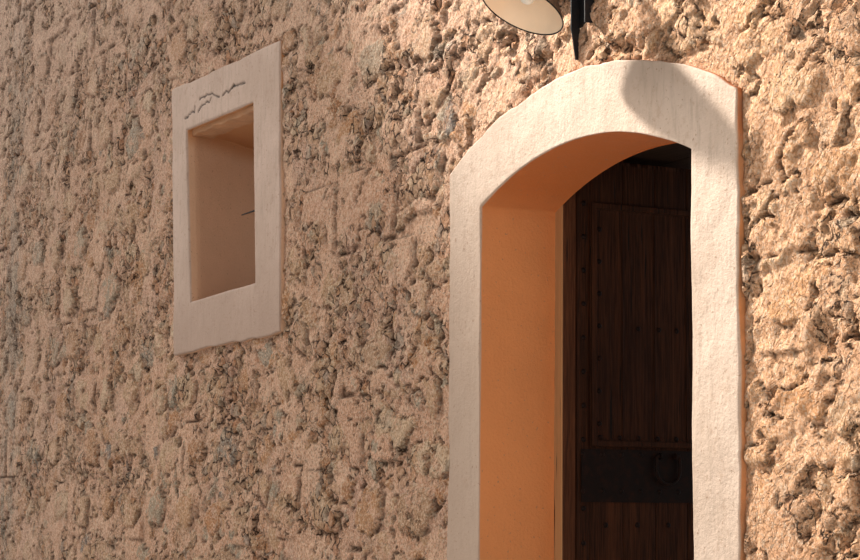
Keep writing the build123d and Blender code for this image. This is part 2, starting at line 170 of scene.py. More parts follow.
# %% A small language for finishes
class Value:
    """One output socket that can be added, multiplied and compared."""

    def __init__(self, finish, socket):
        self.finish = finish
        self.socket = socket

    def math(self, operation, first, second=0.0):
        return self.finish.node("Math", {0: first, 1: second}, operation=operation)

    def __add__(self, other):
        return self.math("ADD", self, other)

    def __sub__(self, other):
        return self.math("SUBTRACT", self, other)

    def __rsub__(self, other):
        return self.math("SUBTRACT", other, self)

    def __mul__(self, other):
        return self.math("MULTIPLY", self, other)

    def __gt__(self, other):
        return self.math("GREATER_THAN", self, other)

    def __lt__(self, other):
        return self.math("LESS_THAN", self, other)

    __radd__ = __add__
    __rmul__ = __mul__

    def span(self, low, high):
        """0 at low, 1 at high, and smooth between."""
        inputs = {"Value": self, "From Min": low, "From Max": high}
        return self.finish.node("MapRange", inputs, interpolation_type="SMOOTHSTEP", clamp=True)


class Finish:
    """A material with one Principled surface."""

    def __init__(self, name, **fixed):
        self.material = bpy.data.materials.new(name)
        self.material.use_nodes = True
        self.tree = self.material.node_tree
        self.shader = self.tree.nodes["Principled BSDF"]
        self.shader.inputs["Roughness"].default_value = 0.85
        for key, value in fixed.items():
            self.shader.inputs[key.replace("_", " ")].default_value = value
        self.place = self.node("TexCoord", output="Object")

    def feed(self, socket, value):
        if isinstance(value, Value):
            self.tree.links.new(value.socket, socket)
        elif isinstance(value, tuple) and len(value) == 3 and socket.type == "RGBA":
            socket.default_value = (*value, 1)
        else:
            socket.default_value = value

    def node(self, kind, inputs=None, output=0, stops=None, **settings):
        """Adds a node: its settings and a ramp's stops first, then its inputs; gives one output."""
        made = self.tree.nodes.new("ShaderNode" + kind)
        for key, value in settings.items():
            setattr(made, key, value)
        if stops:
            ramp = made.color_ramp.elements
            while len(ramp) < len(stops):
                ramp.new(1.0)
            for element, (position, colour) in zip(ramp, stops):
                element.position = position
                element.color = (*colour, 1)
        for key, value in (inputs or {}).items():
            self.feed(made.inputs[key], value)
        return Value(self, made.outputs[output])

    def noise(self, size, detail=3.0, roughness=0.55, stretch=(1, 1, 1), turn=0.0, **settings):
        """Noise in 0 to 1 whose marks are about size metres, drawn out along an axis by stretch and
        turned about Y."""
        scale = tuple(size * s for s in stretch)
        inputs = {"Vector": self.place, "Scale": scale, "Rotation": (0, turn, 0)}
        where = self.node("Mapping", inputs, vector_type="TEXTURE")
        inputs = {"Vector": where, "Scale": 1.0, "Detail": detail, "Roughness": roughness}
        return self.node("TexNoise", inputs, **settings)

    def bent(self, size, reach):
        """The place, pushed about by noise of that size, by up to reach metres."""
        inputs = {"Vector": self.place, "Scale": 1 / size, "Detail": 3.0}
        push = self.node("TexNoise", inputs, output=1)
        push = self.node("VectorMath", {0: push, 1: (0.5, 0.5, 0.5)}, operation="SUBTRACT")
        push = self.node("VectorMath", {0: push, "Scale": 2 * reach}, operation="SCALE")
        return self.node("VectorMath", {0: self.place, 1: push}, operation="ADD")

    def axis(self, letter):
        return self.node("SeparateXYZ", {0: self.place}, output=letter)

    def channel(self, colour, number):
        """One of a colour's three numbers."""
        return self.node("SeparateColor", {0: colour}, output=number)

    def mix(self, factor, first, second):
        """A colour between first and second."""
        inputs = {0: factor, 6: first, 7: second}
        return self.node("Mix", inputs, output=2, data_type="RGBA", clamp_factor=True)

    def bump(self, height, depth, strength=1.0, under=None):
        inputs = {"Height": height, "Distance": depth, "Strength": strength}
        if under:
            inputs["Normal"] = under
        return self.node("Bump", inputs)

    def surface(self, **inputs):
        for key, value in inputs.items():
            self.feed(self.shader.inputs[key.replace("_", " ")], value)
        return self.material


def scaled(colour, *shares):
    """A colour times one share, or times a share for each of its channels."""
    return tuple(c * share for c, share in zip(colour, shares * (3 // len(shares))))


# %% [markdown]
# Rubble in lime mortar. About half of what shows is sandy mortar, from rose to cream, with mauve
# patches and rust blotches where iron in the stone has bled. Each stone that breaks through it has
# a number, and a ramp of colours turns that number into slate, grey-green, ochre, rust or cream.

# %% Colours of mortar and stones
stone_stops = [
    (0.00, (0.24, 0.25, 0.25)), (0.05, (0.44, 0.395, 0.31)), (0.12, (0.48, 0.42, 0.32)),
    (0.15, (0.66, 0.40, 0.25)), (0.50, (0.80, 0.48, 0.28)), (0.62, (0.70, 0.30, 0.12)),
    (0.76, (0.54, 0.20, 0.07)), (0.80, (0.82, 0.54, 0.33)), (1.00, (0.95, 0.70, 0.48)),
]


def mortar_colour(f):
    patch = f.noise(0.42, detail=5, roughness=0.6)
    colour = f.mix(patch.span(0.35, 0.65), (0.88, 0.50, 0.325), (1.0, 0.62, 0.42))
    mauve = f.noise(0.30, detail=4)
    colour = f.mix(mauve.span(0.5, 0.7) * 0.45, colour, (0.74, 0.45, 0.355))
    rusty = f.noise(0.09, detail=5, roughness=0.7)
    return f.mix(rusty.span(0.60, 0.70) * 0.8, colour, (0.62, 0.225, 0.075))


def stone_colour(f, kind):
    colour = f.node("ValToRGB", {0: kind}, stops=stone_stops)
    veins = f.noise(0.05, detail=6, roughness=0.7)
    colour = f.mix(veins.span(0.40, 0.70) * 0.6, colour, (0.62, 0.34, 0.19))
    tone = f.node("Math", {0: kind * 17.3}, operation="FRACT")
    return f.mix(tone * 0.30, colour, (0.90, 0.62, 0.40))


print("stone colours:", len(stone_stops))

# %% [markdown]
# A grey streak runs down near its left end. The other broad changes of colour are painted light:
# the left end is greyer and darker as painted shade, the top is paler as painted light, and the part
# round the door is the warmest, as painted warm light. These are broad masks along X and Z, so they
# are mixed over mortar and stones alike.


# %% Grey streak and painted light
def grey_streak(f):
    offset = f.node("Math", {0: f.axis("X") - (left_end + 0.6)}, operation="ABSOLUTE")
    ragged = f.noise(0.08, detail=4, stretch=(1, 1, 5)).span(0.40, 0.58)
    return (1 - offset.span(0.04, 0.26)) * ragged


def streak_and_painted_light(f, colour, far_left, near_door):
    # Greyer and darker towards the left end: painted shade.
    colour = f.mix(far_left * 0.35, colour, (0.70, 0.50, 0.40))
    colour = f.mix(grey_streak(f) * 0.7, colour, (0.38, 0.33, 0.28))
    # Paler towards the top: painted light.
    painted_top_light = f.axis("Z").span(2.4, 4.2)
    colour = f.mix(painted_top_light * 0.5, colour, (1.0, 0.71, 0.56))
    # Warmer round the door: painted warm light.
    return f.mix(near_door * 0.6, colour, (1.0, 0.53, 0.25))


# %% [markdown]
# Pebbles sit in clusters where the mortar is rough. They are Voronoi cells, a share of which is
# present, and each takes its tint from the stones' ramp. The seams between them are painted with
# shade, and they are broken up by noise, because whole cells would look like a net.


# %% Pebbles, and shade painted in seams and pits
def pebble_marks(f, rough, far_left):
    """Where pebbles are, their edge distance, their tints and the painted shade of their seams."""
    cells_at = {"Vector": f.bent(0.035, 0.016), "Scale": 21.0}
    edge = f.node("TexVoronoi", cells_at, feature="DISTANCE_TO_EDGE")
    cell = f.node("TexVoronoi", cells_at, output=1)
    present = f.channel(cell, 0) < 0.55
    tint = f.node("ValToRGB", {0: f.channel(cell, 1)}, stops=stone_stops)
    broken = f.noise(0.028, detail=3, roughness=0.6).span(0.44, 0.54)
    shaded_seam = (1 - edge.span(0.01, 0.075)) * broken * (rough * 0.8 + 0.2)
    shaded_seam = shaded_seam * (0.35 + present * 0.65) * (1 - far_left * 0.3)
    return rough * present, edge, tint, shaded_seam


# Small pits painted with shade, in ragged clusters.
def shaded_pits(f):
    ragged = f.noise(0.14, detail=4, roughness=0.6).span(0.40, 0.60)
    return f.noise(0.011, detail=4, roughness=0.65).span(0.58, 0.66) * ragged


# %% [markdown]
# The mesh carries four marks for each point: whether it is stone, how rough and open the mortar is,
# the stone's number, and how open the point lies. The finish paints shade where a point lies in a
# narrow hollow, and adds what is too small for the mesh: grains of sand, the pebbles with painted
# shade in their seams, small pits painted with shade, and torn lips of mortar that a bump lifts
# along slanting contour lines.


# %% Rubble finish
def rubble_finish():
    f = Finish("rubble_masonry", Roughness=0.95, Specular_IOR_Level=0.25)
    marks = f.node("Attribute", output="Color", attribute_name="rubble_marks")
    stone, rough, kind = (f.channel(marks, number) for number in range(3))
    depth = f.node("Attribute", output="Alpha", attribute_name="rubble_marks")
    far_left = 1 - f.axis("X").span(left_end + 0.2, left_end + 3.5)
    near_door = f.axis("X").span(-1.2, 1.0)
    deep_shade = (0.085, 0.036, 0.017)

    smear = f.noise(0.07, detail=5, roughness=0.7)
    shows = stone * (1 - smear.span(0.50, 0.60) * 0.8)
    colour = f.mix(shows, mortar_colour(f), stone_colour(f, kind))
    greenish = f.noise(0.055, detail=4, roughness=0.6)
    colour = f.mix(rough * greenish.span(0.60, 0.68) * 0.7, colour, (0.47, 0.39, 0.28))
    colour = streak_and_painted_light(f, colour, far_left, near_door)
    grain = f.noise(0.010, detail=4, roughness=0.75)
    colour = f.mix(grain.span(0.50, 0.60) * 0.65, colour, (1.0, 0.77, 0.56))
    colour = f.mix((1 - grain).span(0.51, 0.60) * 0.5, colour, (0.40, 0.18, 0.075))

    pebble, edge, tint, shaded_seam = pebble_marks(f, rough, far_left)
    colour = f.mix(pebble * edge.span(0.04, 0.12) * 0.45, colour, tint)
    # Painted shade in the seams between pebbles.
    colour = f.mix(shaded_seam * 0.9, colour, deep_shade)
    pit_shade = shaded_pits(f)
    # Painted shade in the small pits.
    colour = f.mix(pit_shade * (0.65 - far_left * 0.2), colour, (0.12, 0.055, 0.027))
    # Painted shade in narrow hollows, from the mesh's depth mark.
    colour = f.mix((1 - depth) * 0.85, colour, deep_shade)

    crust = f.noise(0.030, detail=5, roughness=0.7, noise_type="RIDGED_MULTIFRACTAL")
    sand = f.noise(0.013, detail=5, roughness=0.75)
    torn = f.noise(0.032, detail=2, stretch=(2.0, 1, 1), turn=-0.8)
    lips = torn.span(0.38, 0.43) + torn.span(0.48, 0.53) + torn.span(0.58, 0.63)
    normal = f.bump(crust * (0.4 + rough) + pebble * edge.span(0.0, 0.22) * 0.5, 0.020)
    normal = f.bump(sand - pit_shade * 0.4 - shaded_seam * 0.7, 0.024, under=normal)
    normal = f.bump(lips * (0.4 + near_door * 0.6), 0.007, under=normal)
    return f.surface(Base_Color=colour, Normal=normal)


# %% [markdown]
# Lime plaster. On the face it is pale and slightly streaked. In the reveals it is a deeper orange,
# which is painted bounce light, and deeper still under the arch and the window's head, which is
# painted shade. The lower left of the door's band is darker, as painted shade. Fine bumps stand for
# the trowel's drag.


# %% Plaster finishes
def plaster_finish(name, face, streak, reveal, bounce_end, soffit):
    """face and streak are the outer colours. reveal, a colour of painted bounce light, takes over
    from the face up to bounce_end in Y, and as painted shade it is deepest above the height soffit."""
    f = Finish(name, Roughness=0.8)
    marks = f.node("Attribute", output="Color", attribute_name="plaster_marks")
    crack, dirt = f.channel(marks, 0), f.channel(marks, 1)
    cloud = f.noise(0.30, detail=5, roughness=0.6)
    brushed = f.noise(0.025, detail=6, roughness=0.7, stretch=(1, 1, 6))
    colour = f.mix(cloud.span(0.35, 0.68), face, streak)
    colour = f.mix(brushed.span(0.47, 0.66) * 0.6, colour, scaled(streak, 0.84))
    mottled = f.noise(0.035, detail=5, roughness=0.7)
    colour = f.mix(mottled.span(0.54, 0.68) * 0.45, colour, scaled(streak, 0.80, 0.72, 0.66))
    # Darker low on the door's left jamb: painted shade.
    shaded_low_left = 1 - f.axis("X").span(-half - band, -half + 0.5)
    shaded_low_left = shaded_low_left * (1 - f.axis("Z").span(1.9, 2.5))
    colour = f.mix(shaded_low_left * 0.75, colour, scaled(streak, 0.76, 0.71, 0.68))

    # Warmer colour in the reveals: painted bounce light.
    inside = f.axis("Y").span(face_y + 0.004, bounce_end)
    tinted = f.mix(cloud.span(0.3, 0.7) * 0.5, reveal, scaled(reveal, 0.82))
    # Deeper colour under the soffit: painted shade.
    soffit_shade = f.axis("Z").span(soffit - 0.10, soffit)
    tinted = f.mix(soffit_shade, tinted, scaled(reveal, 0.78, 0.58, 0.36))
    colour = f.mix(inside, colour, tinted)
    spots = f.noise(0.012, detail=2, roughness=0.5)
    brown = (0.30, 0.17, 0.10)
    colour = f.mix((1 - spots).span(0.66, 0.74) * 0.6, colour, brown)
    colour = f.mix(dirt * 0.6, colour, brown)
    colour = f.mix(crack, colour, (0.035, 0.022, 0.015))

    drag = f.noise(0.10, detail=4, roughness=0.5)
    grit = f.noise(0.010, detail=4, roughness=0.7)
    normal = f.bump(drag + brushed * 0.3, 0.006, 0.6)
    normal = f.bump(grit - spots * 0.3, 0.0035, 0.8, under=normal)
    return f.surface(Base_Color=colour, Normal=normal)


# %% [markdown]
# Old timber. The grain runs up each board, so its noise is drawn out along Z. Dark open cracks sit
# on the same stretched pattern, and worn ridges are a little lighter and smoother.


# %% Timber finishes
def timber_finish(name, dark, light, grain_axis="Z", worn=0.5, tinted=None):
    """washed is a paler colour for the front alone, where the wall's wash was brushed over it."""
    f = Finish(name, Roughness=0.75, Specular_IOR_Level=0.12)
    along = {"X": (22, 1, 1), "Z": (1, 1, 22)}[grain_axis]
    grain = f.noise(0.006, detail=6, roughness=0.65, stretch=along)
    figure = f.noise(0.035, detail=4, roughness=0.6, stretch=along)
    cloud = f.noise(0.4, detail=3)
    colour = f.mix(grain.span(0.3, 0.72), dark, light)
    colour = f.mix(figure.span(0.5, 0.75) * worn, colour, scaled(light, 1.7))
    colour = f.mix(cloud.span(0.4, 0.7) * 0.45, colour, dark)
    split = f.noise(0.010, detail=2, roughness=0.4, stretch=along)
    crack = (1 - split).span(0.66, 0.74)
    if tinted:
        front = 1 - f.axis("Y").span(ring_y + 0.001, ring_y + 0.004)
        colour = f.mix(front * (0.75 + figure.span(0.3, 0.7) * 0.25), colour, tinted)
    colour = f.mix(crack, colour, (0.006, 0.004, 0.003))
    normal = f.bump(grain - crack, 0.0016, 0.8)
    normal = f.bump(figure, 0.003, 0.6, under=normal)
    rough = 0.8 - grain * 0.25
    return f.surface(Base_Color=colour, Roughness=rough, Normal=normal)


# %% [markdown]
# Forged iron is dark, pitted and dusted with brown rust. The lamp's iron is painted black, and its
# shade is enamel: cream inside, with a few rust spots, and dark outside.


# %% Iron, enamel, glass and stone finishes
def iron_finish(name, base, rust, rusty=0.5, metal=0.6):
    f = Finish(name, Specular_IOR_Level=0.12)
    patch = f.noise(0.03, detail=6, roughness=0.7)
    pits = f.noise(0.004, detail=4, roughness=0.7)
    mask = patch.span(0.45, 0.72) * rusty
    colour = f.mix(mask, base, rust)
    normal = f.bump(patch, 0.0015, 0.6)
    normal = f.bump(pits, 0.0006, 0.8, under=normal)
    dull = {"Metallic": metal - mask * metal, "Roughness": 0.5 + mask * 0.4}
    return f.surface(Base_Color=colour, Normal=normal, **dull)


def enamel_finish(name, base, spot):
    f = Finish(name, Roughness=0.35)
    cloud = f.noise(0.08, detail=3)
    spots = f.noise(0.022, detail=3, roughness=0.6)
    colour = f.mix(cloud.span(0.35, 0.7) * 0.4, base, scaled(base, 0.86))
    colour = f.mix(spots.span(0.70, 0.78) * 0.7, colour, spot)
    return f.surface(Base_Color=colour, Normal=f.bump(cloud, 0.001, 0.5))


def glass_finish():
    f = Finish("bulb_glass", Roughness=0.25)
    cloud = f.noise(0.02, detail=2)
    colour = f.mix(cloud, (0.86, 0.80, 0.68), (0.93, 0.88, 0.78))
    return f.surface(Base_Color=colour, Roughness=0.25 + cloud * 0.1)


def slab_finish():
    f = Finish("threshold_stone", Roughness=0.7)
    patch = f.noise(0.18, detail=6, roughness=0.6)
    pits = f.noise(0.01, detail=4, roughness=0.7)
    colour = f.mix(patch.span(0.3, 0.7), (0.33, 0.25, 0.19), (0.46, 0.36, 0.27))
    colour = f.mix((1 - pits).span(0.6, 0.75) * 0.5, colour, (0.16, 0.11, 0.08))
    normal = f.bump(patch, 0.008, 0.6)
    normal = f.bump(pits, 0.002, 0.6, under=normal)
    return f.surface(Base_Color=colour, Roughness=0.6 + patch * 0.25, Normal=normal)


# %% [markdown]
# Each finish is made once and shared by all its pieces. The two plasters differ in colour, and in
# how far the painted bounce light of the reveal reaches out: it starts just behind the face.

# %% The finishes in use
rubble = rubble_finish()
door_plaster = plaster_finish(
    "lime_plaster_door", face=(0.62, 0.475, 0.370), streak=(0.54, 0.400, 0.300),
    reveal=(0.66, 0.26, 0.086), bounce_end=face_y + 0.010, soffit=springing + 0.06,
)
window_plaster = plaster_finish(
    "lime_plaster_window", face=(0.59, 0.425, 0.335), streak=(0.51, 0.36, 0.275),
    reveal=(0.67, 0.41, 0.255), bounce_end=face_y + 0.012, soffit=window_inner[:, 1].max(),
)
door_timber = timber_finish("door_timber", (0.014, 0.0045, 0.0018), (0.055, 0.019, 0.007))
post_timber = timber_finish(
    "post_timber", (0.045, 0.016, 0.007), (0.12, 0.045, 0.018), tinted=(0.52, 0.28, 0.125)
)
beam_timber = timber_finish(
    "beam_timber", (0.012, 0.006, 0.003), (0.040, 0.021, 0.012), grain_axis="X"
)
wrought_iron = iron_finish("wrought_iron", (0.009, 0.005, 0.004), (0.035, 0.012, 0.006), metal=0.2)
lamp_iron = iron_finish(
    "lamp_iron", (0.018, 0.018, 0.020), (0.07, 0.035, 0.02), rusty=0.25, metal=0.3
)
enamel_in = enamel_finish("enamel_inside", (0.95, 0.73, 0.51), (0.42, 0.20, 0.09))
enamel_out = enamel_finish("enamel_outside", (0.07, 0.045, 0.03), (0.15, 0.07, 0.03))
bulb_glass = glass_finish()
threshold_stone = slab_finish()
print("finishes:", len(bpy.data.materials))

# %% [markdown]
# Relief needs noise that gives the same result each run. A table of seeded random numbers is laid
# over the surface as a lattice, and smooth steps between its corners make rolling bumps. Several
# sizes added together look like worn stone.


# %% Noise on a lattice
def tables(seed, count):
    return np.random.default_rng(seed).random((count, 256, 256)).astype(np.float32)


def bumps(u, v, size, seed):
    """Smooth noise from -1 to 1, about size metres across."""
    table = tables(seed, 1)[0] * 2 - 1
    a, b = u / size, v / size
    i, j = np.floor(a).astype(int), np.floor(b).astype(int)
    s, t = a - i, b - j
    s, t = s * s * (3 - 2 * s), t * t * (3 - 2 * t)
    i0, j0, i1, j1 = i & 255, j & 255, (i + 1) & 255, (j + 1) & 255
    low = table[i0, j0] * (1 - s) + table[i1, j0] * s
    high = table[i0, j1] * (1 - s) + table[i1, j1] * s
    return low * (1 - t) + high * t


def cells(u, v, size_u, size_v, seed):
    """Angular stones: each point's distance to its stone's outline, its offset from the stone's
    middle and five random numbers of that stone."""
    jitter_u, jitter_v, *numbers = tables(seed, 7)
    a, b = u / size_u, v / size_v
    i, j = np.floor(a).astype(int), np.floor(b).astype(int)
    near = np.full(u.shape, 9.0)
    second = near.copy()
    best = [np.zeros(u.shape) for _ in range(4)]
    other = [np.zeros(u.shape) for _ in range(2)]
    for di in (-1, 0, 1):
        for dj in (-1, 0, 1):
            ci, cj = i + di, j + dj
            cu = ci + 0.5 + 0.44 * (2 * jitter_u[ci & 255, cj & 255] - 1)
            cv = cj + 0.5 + 0.44 * (2 * jitter_v[ci & 255, cj & 255] - 1)
            d = (a - cu) ** 2 + (b - cv) ** 2
            closer = d < near
            runner = ~closer & (d < second)
            for k, new in enumerate((cu, cv)):
                other[k] = np.where(closer, best[k], np.where(runner, new, other[k]))
            second = np.where(closer, near, np.where(runner, d, second))
            for k, new in enumerate((cu, cv, ci, cj)):
                best[k] = np.where(closer, new, best[k])
            near = np.where(closer, d, near)
    gap = np.hypot(best[0] - other[0], best[1] - other[1]) + 1e-6
    edge = (second - near) / (2 * gap) * math.sqrt(size_u * size_v)
    ci, cj = best[2].astype(int) & 255, best[3].astype(int) & 255
    return edge, (a - best[0]) * size_u, (b - best[1]) * size_v, [n[ci, cj] for n in numbers]


def ramp(x, low, high):
    t = np.clip((x - low) / (high - low), 0, 1)
    return t * t * (3 - 2 * t)


# %% [markdown]
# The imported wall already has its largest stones, as low blocks with flat tops. The relief keeps
# each of them in its place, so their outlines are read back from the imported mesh: faces that lie
# in the plane of the tops are grouped where they share corners.


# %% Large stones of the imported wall
def stone_tops(y_top):
    """The outlines of all flat tops in one plane, each as (x, z) corners in turn."""
    groups = []
    for name in [n for n in frame["nodes"] if n.startswith("wall_")]:
        mesh = frame["nodes"][name].data
        for polygon in mesh.polygons:
            spots = [mesh.vertices[i].co for i in polygon.vertices]
            if all(abs(spot.y - y_top) < 1e-4 for spot in spots):
                corners = {(round(spot.x, 4), round(spot.z, 4)) for spot in spots}
                shared = [group for group in groups if group & corners]
                groups = [group for group in groups if not group & corners]
                groups.append(corners.union(*shared))
    outlines = []
    for group in groups:
        points = np.array(sorted(group))
        middle = points.mean(0)
        outlines.append(points[np.argsort(np.arctan2(*(points - middle).T[::-1]))])
    return outlines


def outline_distance(x, z, corners):
    """Distance to a convex outline, below zero inside it."""
    distance = np.full(np.shape(x), -9.0)
    for (ax, az), (bx, bz) in zip(corners, np.roll(corners, -1, axis=0)):
        length = math.hypot(bx - ax, bz - az)
        distance = np.maximum(distance, ((x - ax) * (bz - az) - (z - az) * (bx - ax)) / length)
    return distance


front_stones = stone_tops(wall_low.y)
back_stones = stone_tops(wall_high.y)
stone_proud = rubble_y - wall_low.y
print("large stones:", len(front_stones), "in front,", len(back_stones), "behind")
print("they stand out by", round(stone_proud, 4), "m")

# %% [markdown]
# The rubble's relief is laid in layers, and one class keeps what the layers share. The mortar comes
# first. It rolls gently and is sandy, and in rough patches it has come off in slanting flakes with
# creases and torn lips, which are boldest near the door.

# %% Relief of the mortar
crust_depth = 0.014
lip_height = 0.0065
lip_levels = (-0.45, -0.05, 0.35)
pit_depth = 0.009


def creased(u, v, size, seed):
    """Lumps with sharp creases between them, from 0 in a crease to about 1, in three sizes."""
    weights = (0.95, 0.70, 0.55)
    return sum(np.abs(bumps(u, v, size / 2**n, seed + n)) * w for n, w in enumerate(weights))


class Relief:
    """Height of one sheet of rubble over its mean plane, in metres, and its marks."""

    def __init__(self, u, v, seed):
        self.u, self.v, self.seed = u, v, seed
        self.bent_u = (
            u + 0.030 * self.rolls(0.13, 0) + 0.013 * self.rolls(0.045, 1)
            + 0.007 * self.rolls(0.022, 41)
        )
        self.bent_v = (
            v + 0.026 * self.rolls(0.12, 2) + 0.012 * self.rolls(0.040, 3)
            + 0.006 * self.rolls(0.020, 42)
        )
        self.rolling = 0.006 * self.rolls(0.6, 6) + 0.004 * self.rolls(0.19, 7)
        self.sand = (
            0.0022 * self.rolls(0.028, 4) + 0.0022 * self.rolls(0.018, 5)
            + 0.0016 * self.rolls(0.012, 48)
        )
        patches = self.bent_rolls(0.20, 45) + 0.6 * self.bent_rolls(0.085, 47)
        self.rough = ramp(patches, 0.0, 0.35)
        self.crust = self.torn_crust()
        self.height = self.rolling + self.sand + (0.3 + 0.7 * self.rough) * self.crust
        self.mask, self.kind = np.zeros(u.shape), np.zeros(u.shape)

    def rolls(self, size, number):
        """One of the sheet's own noises, from -1 to 1."""
        return bumps(self.u, self.v, size, self.seed + number)

    def bent_rolls(self, size, number):
        return bumps(self.bent_u, self.bent_v, size, self.seed + number)

    def torn_crust(self):
        """Flakes of mortar along a slant, with creases and lips."""
        slant_u = (self.bent_u + self.bent_v) / math.sqrt(8)
        slant_v = (self.bent_v - self.bent_u) / math.sqrt(2)
        flakes = bumps(slant_u, slant_v, 0.075, self.seed + 70)
        flakes = flakes + 0.45 * bumps(slant_u, slant_v, 0.030, self.seed + 71)
        lips = sum(ramp(flakes, level, level + 0.08) for level in lip_levels) - 1.5
        creases = creased(slant_u, slant_v, 0.085, self.seed + 60) - 0.62
        bold = 0.60 + 0.40 * ramp(self.u, -2.6, 0.6)
        return (creases * crust_depth + lips * lip_height) * bold

    def lay(self, shows, stone, kind, crevice, depth):
        """Lays a stone where it shows, and sinks the crevice beside it."""
        self.height = np.where(shows, stone, self.height) - np.where(crevice, depth, 0)
        self.mask = np.where(shows, 1.0, self.mask)
        self.kind = np.where(shows, kind, self.kind)


print("mortar: crust", crust_depth, "m deep, lips", lip_height, "m high")

# %% [markdown]
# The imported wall's large stones come next. Each gets its own height and tilt and a few broken steps
# across its face. Its flank drops away at the bent outline, the mortar laps over it here and there,
# and a crevice opens on part of its edge.

# %% Large stones in the relief
lap_height = 0.016


def lay_large(relief, outlines):
    chance = np.random.default_rng(relief.seed)
    ragged = relief.rolls(0.06, 8)
    for corners in outlines:
        lift, lean_u, lean_v, kind = chance.random(4)
        (u0, v0), (u1, v1) = corners.min(0) - 0.05, corners.max(0) + 0.05
        near = (relief.u > u0) & (relief.u < u1) & (relief.v > v0) & (relief.v < v1)
        if not near.any():
            continue
        middle = corners.mean(0)
        a, b = relief.bent_u[near], relief.bent_v[near]
        outside = outline_distance(a, b, corners)
        steps = bumps(a * 0.7 + b, b - a * 0.6, 0.14, relief.seed + 43)
        top = stone_proud * (0.72 + 0.3 * lift) + np.floor(2.2 * steps) * 0.0032
        top = top + relief.sand[near] + relief.rough[near] * relief.crust[near] * 0.6
        top += (a - middle[0]) * (lean_u - 0.5) * 0.06 + (b - middle[1]) * (lean_v - 0.5) * 0.06
        flank = np.where(outside > -0.004, top - (outside + 0.004) * 1.5, top)
        laps = ramp(bumps(a, b, 0.16, relief.seed + 44), 0.05, 0.6)
        lapped = relief.height[near] + lap_height * laps
        shows = flank > lapped
        edge = shows & (np.abs(outside - 0.006) < 0.006) & (ragged[near] > 0.1)
        relief.height[near] = np.where(shows, flank, lapped) - np.where(edge, 0.009, 0)
        relief.mask[near] = np.where(shows & (flank > 0.002), 1.0, relief.mask[near])
        relief.kind[near] = np.where(shows, kind, relief.kind[near])


# %% [markdown]
# Smaller stones are cells of a broken lattice, in two sorts, and only a share of them breaks
# through the mortar. A few more are laid one by one: the ones that the eye finds at once, such as
# the slate chip left of the arch.

# %% Small and marked stones in the relief
stone_sorts = (
    # width, height, share that shows, how far they stand out, widest mortar border
    (0.160, 0.105, 0.34, 0.011, 0.018),
    (0.070, 0.048, 0.24, 0.008, 0.009),
)
marked_stones = (
    # x, z, half width, half height, how far it stands out, kind
    (-0.836, 2.559, 0.060, 0.048, 0.012, 0.0),
    (-6.358, 1.755, 0.110, 0.090, 0.008, 0.04),
    (-3.763, 1.732, 0.100, 0.070, 0.014, 0.97),
    (-6.383, 2.487, 0.075, 0.150, 0.006, 0.08),
    (-4.263, 3.036, 0.070, 0.090, 0.009, 0.06),
    (-2.174, 2.209, 0.060, 0.080, 0.009, 0.50),
)


def lay_small(relief, number, width, tall, share, stand, border):
    found = cells(relief.bent_u, relief.bent_v, width, tall, relief.seed + 20 * number + 50)
    edge, du, dv, (show, lift, lean_u, lean_v, kind) = found
    inset = border * (0.15 + lift)
    u, v = relief.u, relief.v
    steps = bumps(u * 0.8 + v, v - u * 0.5, width * 0.32, relief.seed + 9 + number)
    top = stand * (0.15 + lift) + du * (lean_u - 0.5) * 0.34 + dv * (lean_v - 0.5) * 0.38
    top = top + np.floor(2.6 * steps) * stand * 0.26 + relief.sand
    sloped = np.where(edge > inset, top, top - (inset - edge) * 2.4)
    stone = relief.rolling + sloped + 0.4 * relief.rough * relief.crust
    free = (show < share) & (relief.mask < 0.5)
    open_side = np.sin(6.3 * lift + np.arctan2(dv, du)) > 0.35
    crevice = free & (np.abs(edge - inset + 0.004) < 0.0065) & open_side
    relief.lay(free & (stone > relief.height), stone, kind, crevice, 0.011)


def lay_marked(relief):
    for x, z, wide, tall, lift, kind in marked_stones:
        inside = 1 - np.hypot((relief.bent_u - x) / wide, (relief.bent_v - z) / tall)
        stone = relief.rolling + lift * ramp(inside, 0, 0.25) + 0.3 * relief.crust + relief.sand
        relief.lay(inside > 0, stone, kind, np.abs(inside + 0.06) < 0.06, 0.006)


def rubble_relief(u, v, seed, large=()):
    """Height out of the mean plane in metres, and the marks stone, rough and kind."""
    relief = Relief(u, v, seed)
    lay_large(relief, large)
    for number, sort in enumerate(stone_sorts):
        lay_small(relief, number, *sort)
    if large:
        lay_marked(relief)
    pits = ramp(relief.rolls(0.026, 46), 0.42, 0.75) * relief.rough
    return relief.height - pit_depth * pits, [relief.mask, relief.rough, relief.kind]


print("small stones:", len(stone_sorts), "sorts, and", len(marked_stones), "laid by hand")

# %% [markdown]
# Where the plaster lies, the rubble stays behind it, and it also stays low right beside the
# plaster, so that the plaster's edge casts its line of shade. Both outlines are distances: below
# zero inside the plaster or the opening, above zero on the open wall.


# %% Outlines of door and window
def door_distance(x, z, grow=0.0):
    across = np.abs(x) - half
    over = np.hypot(x, z - arch_centre) - arch_radius
    return np.maximum(across, over) - grow


def plaster_distance(x, z):
    return np.minimum(door_distance(x, z, grow=band), outline_distance(x, z, window_outer))


# %% [markdown]
# A sheet is a grid of points that follows the relief. Faces inside an opening are dropped, and
# points left over inside it move onto its outline. One maker serves the front, the back, the ends
# and the top: place says where a point of the sheet lies in space.


# %% Meshes from arrays
def drop_loose(points, quads, marks):
    """Leaves out the points that no quad uses."""
    used, index = np.unique(quads, return_inverse=True)
    return points[used], index.reshape(quads.shape), marks[used] if marks is not None else None


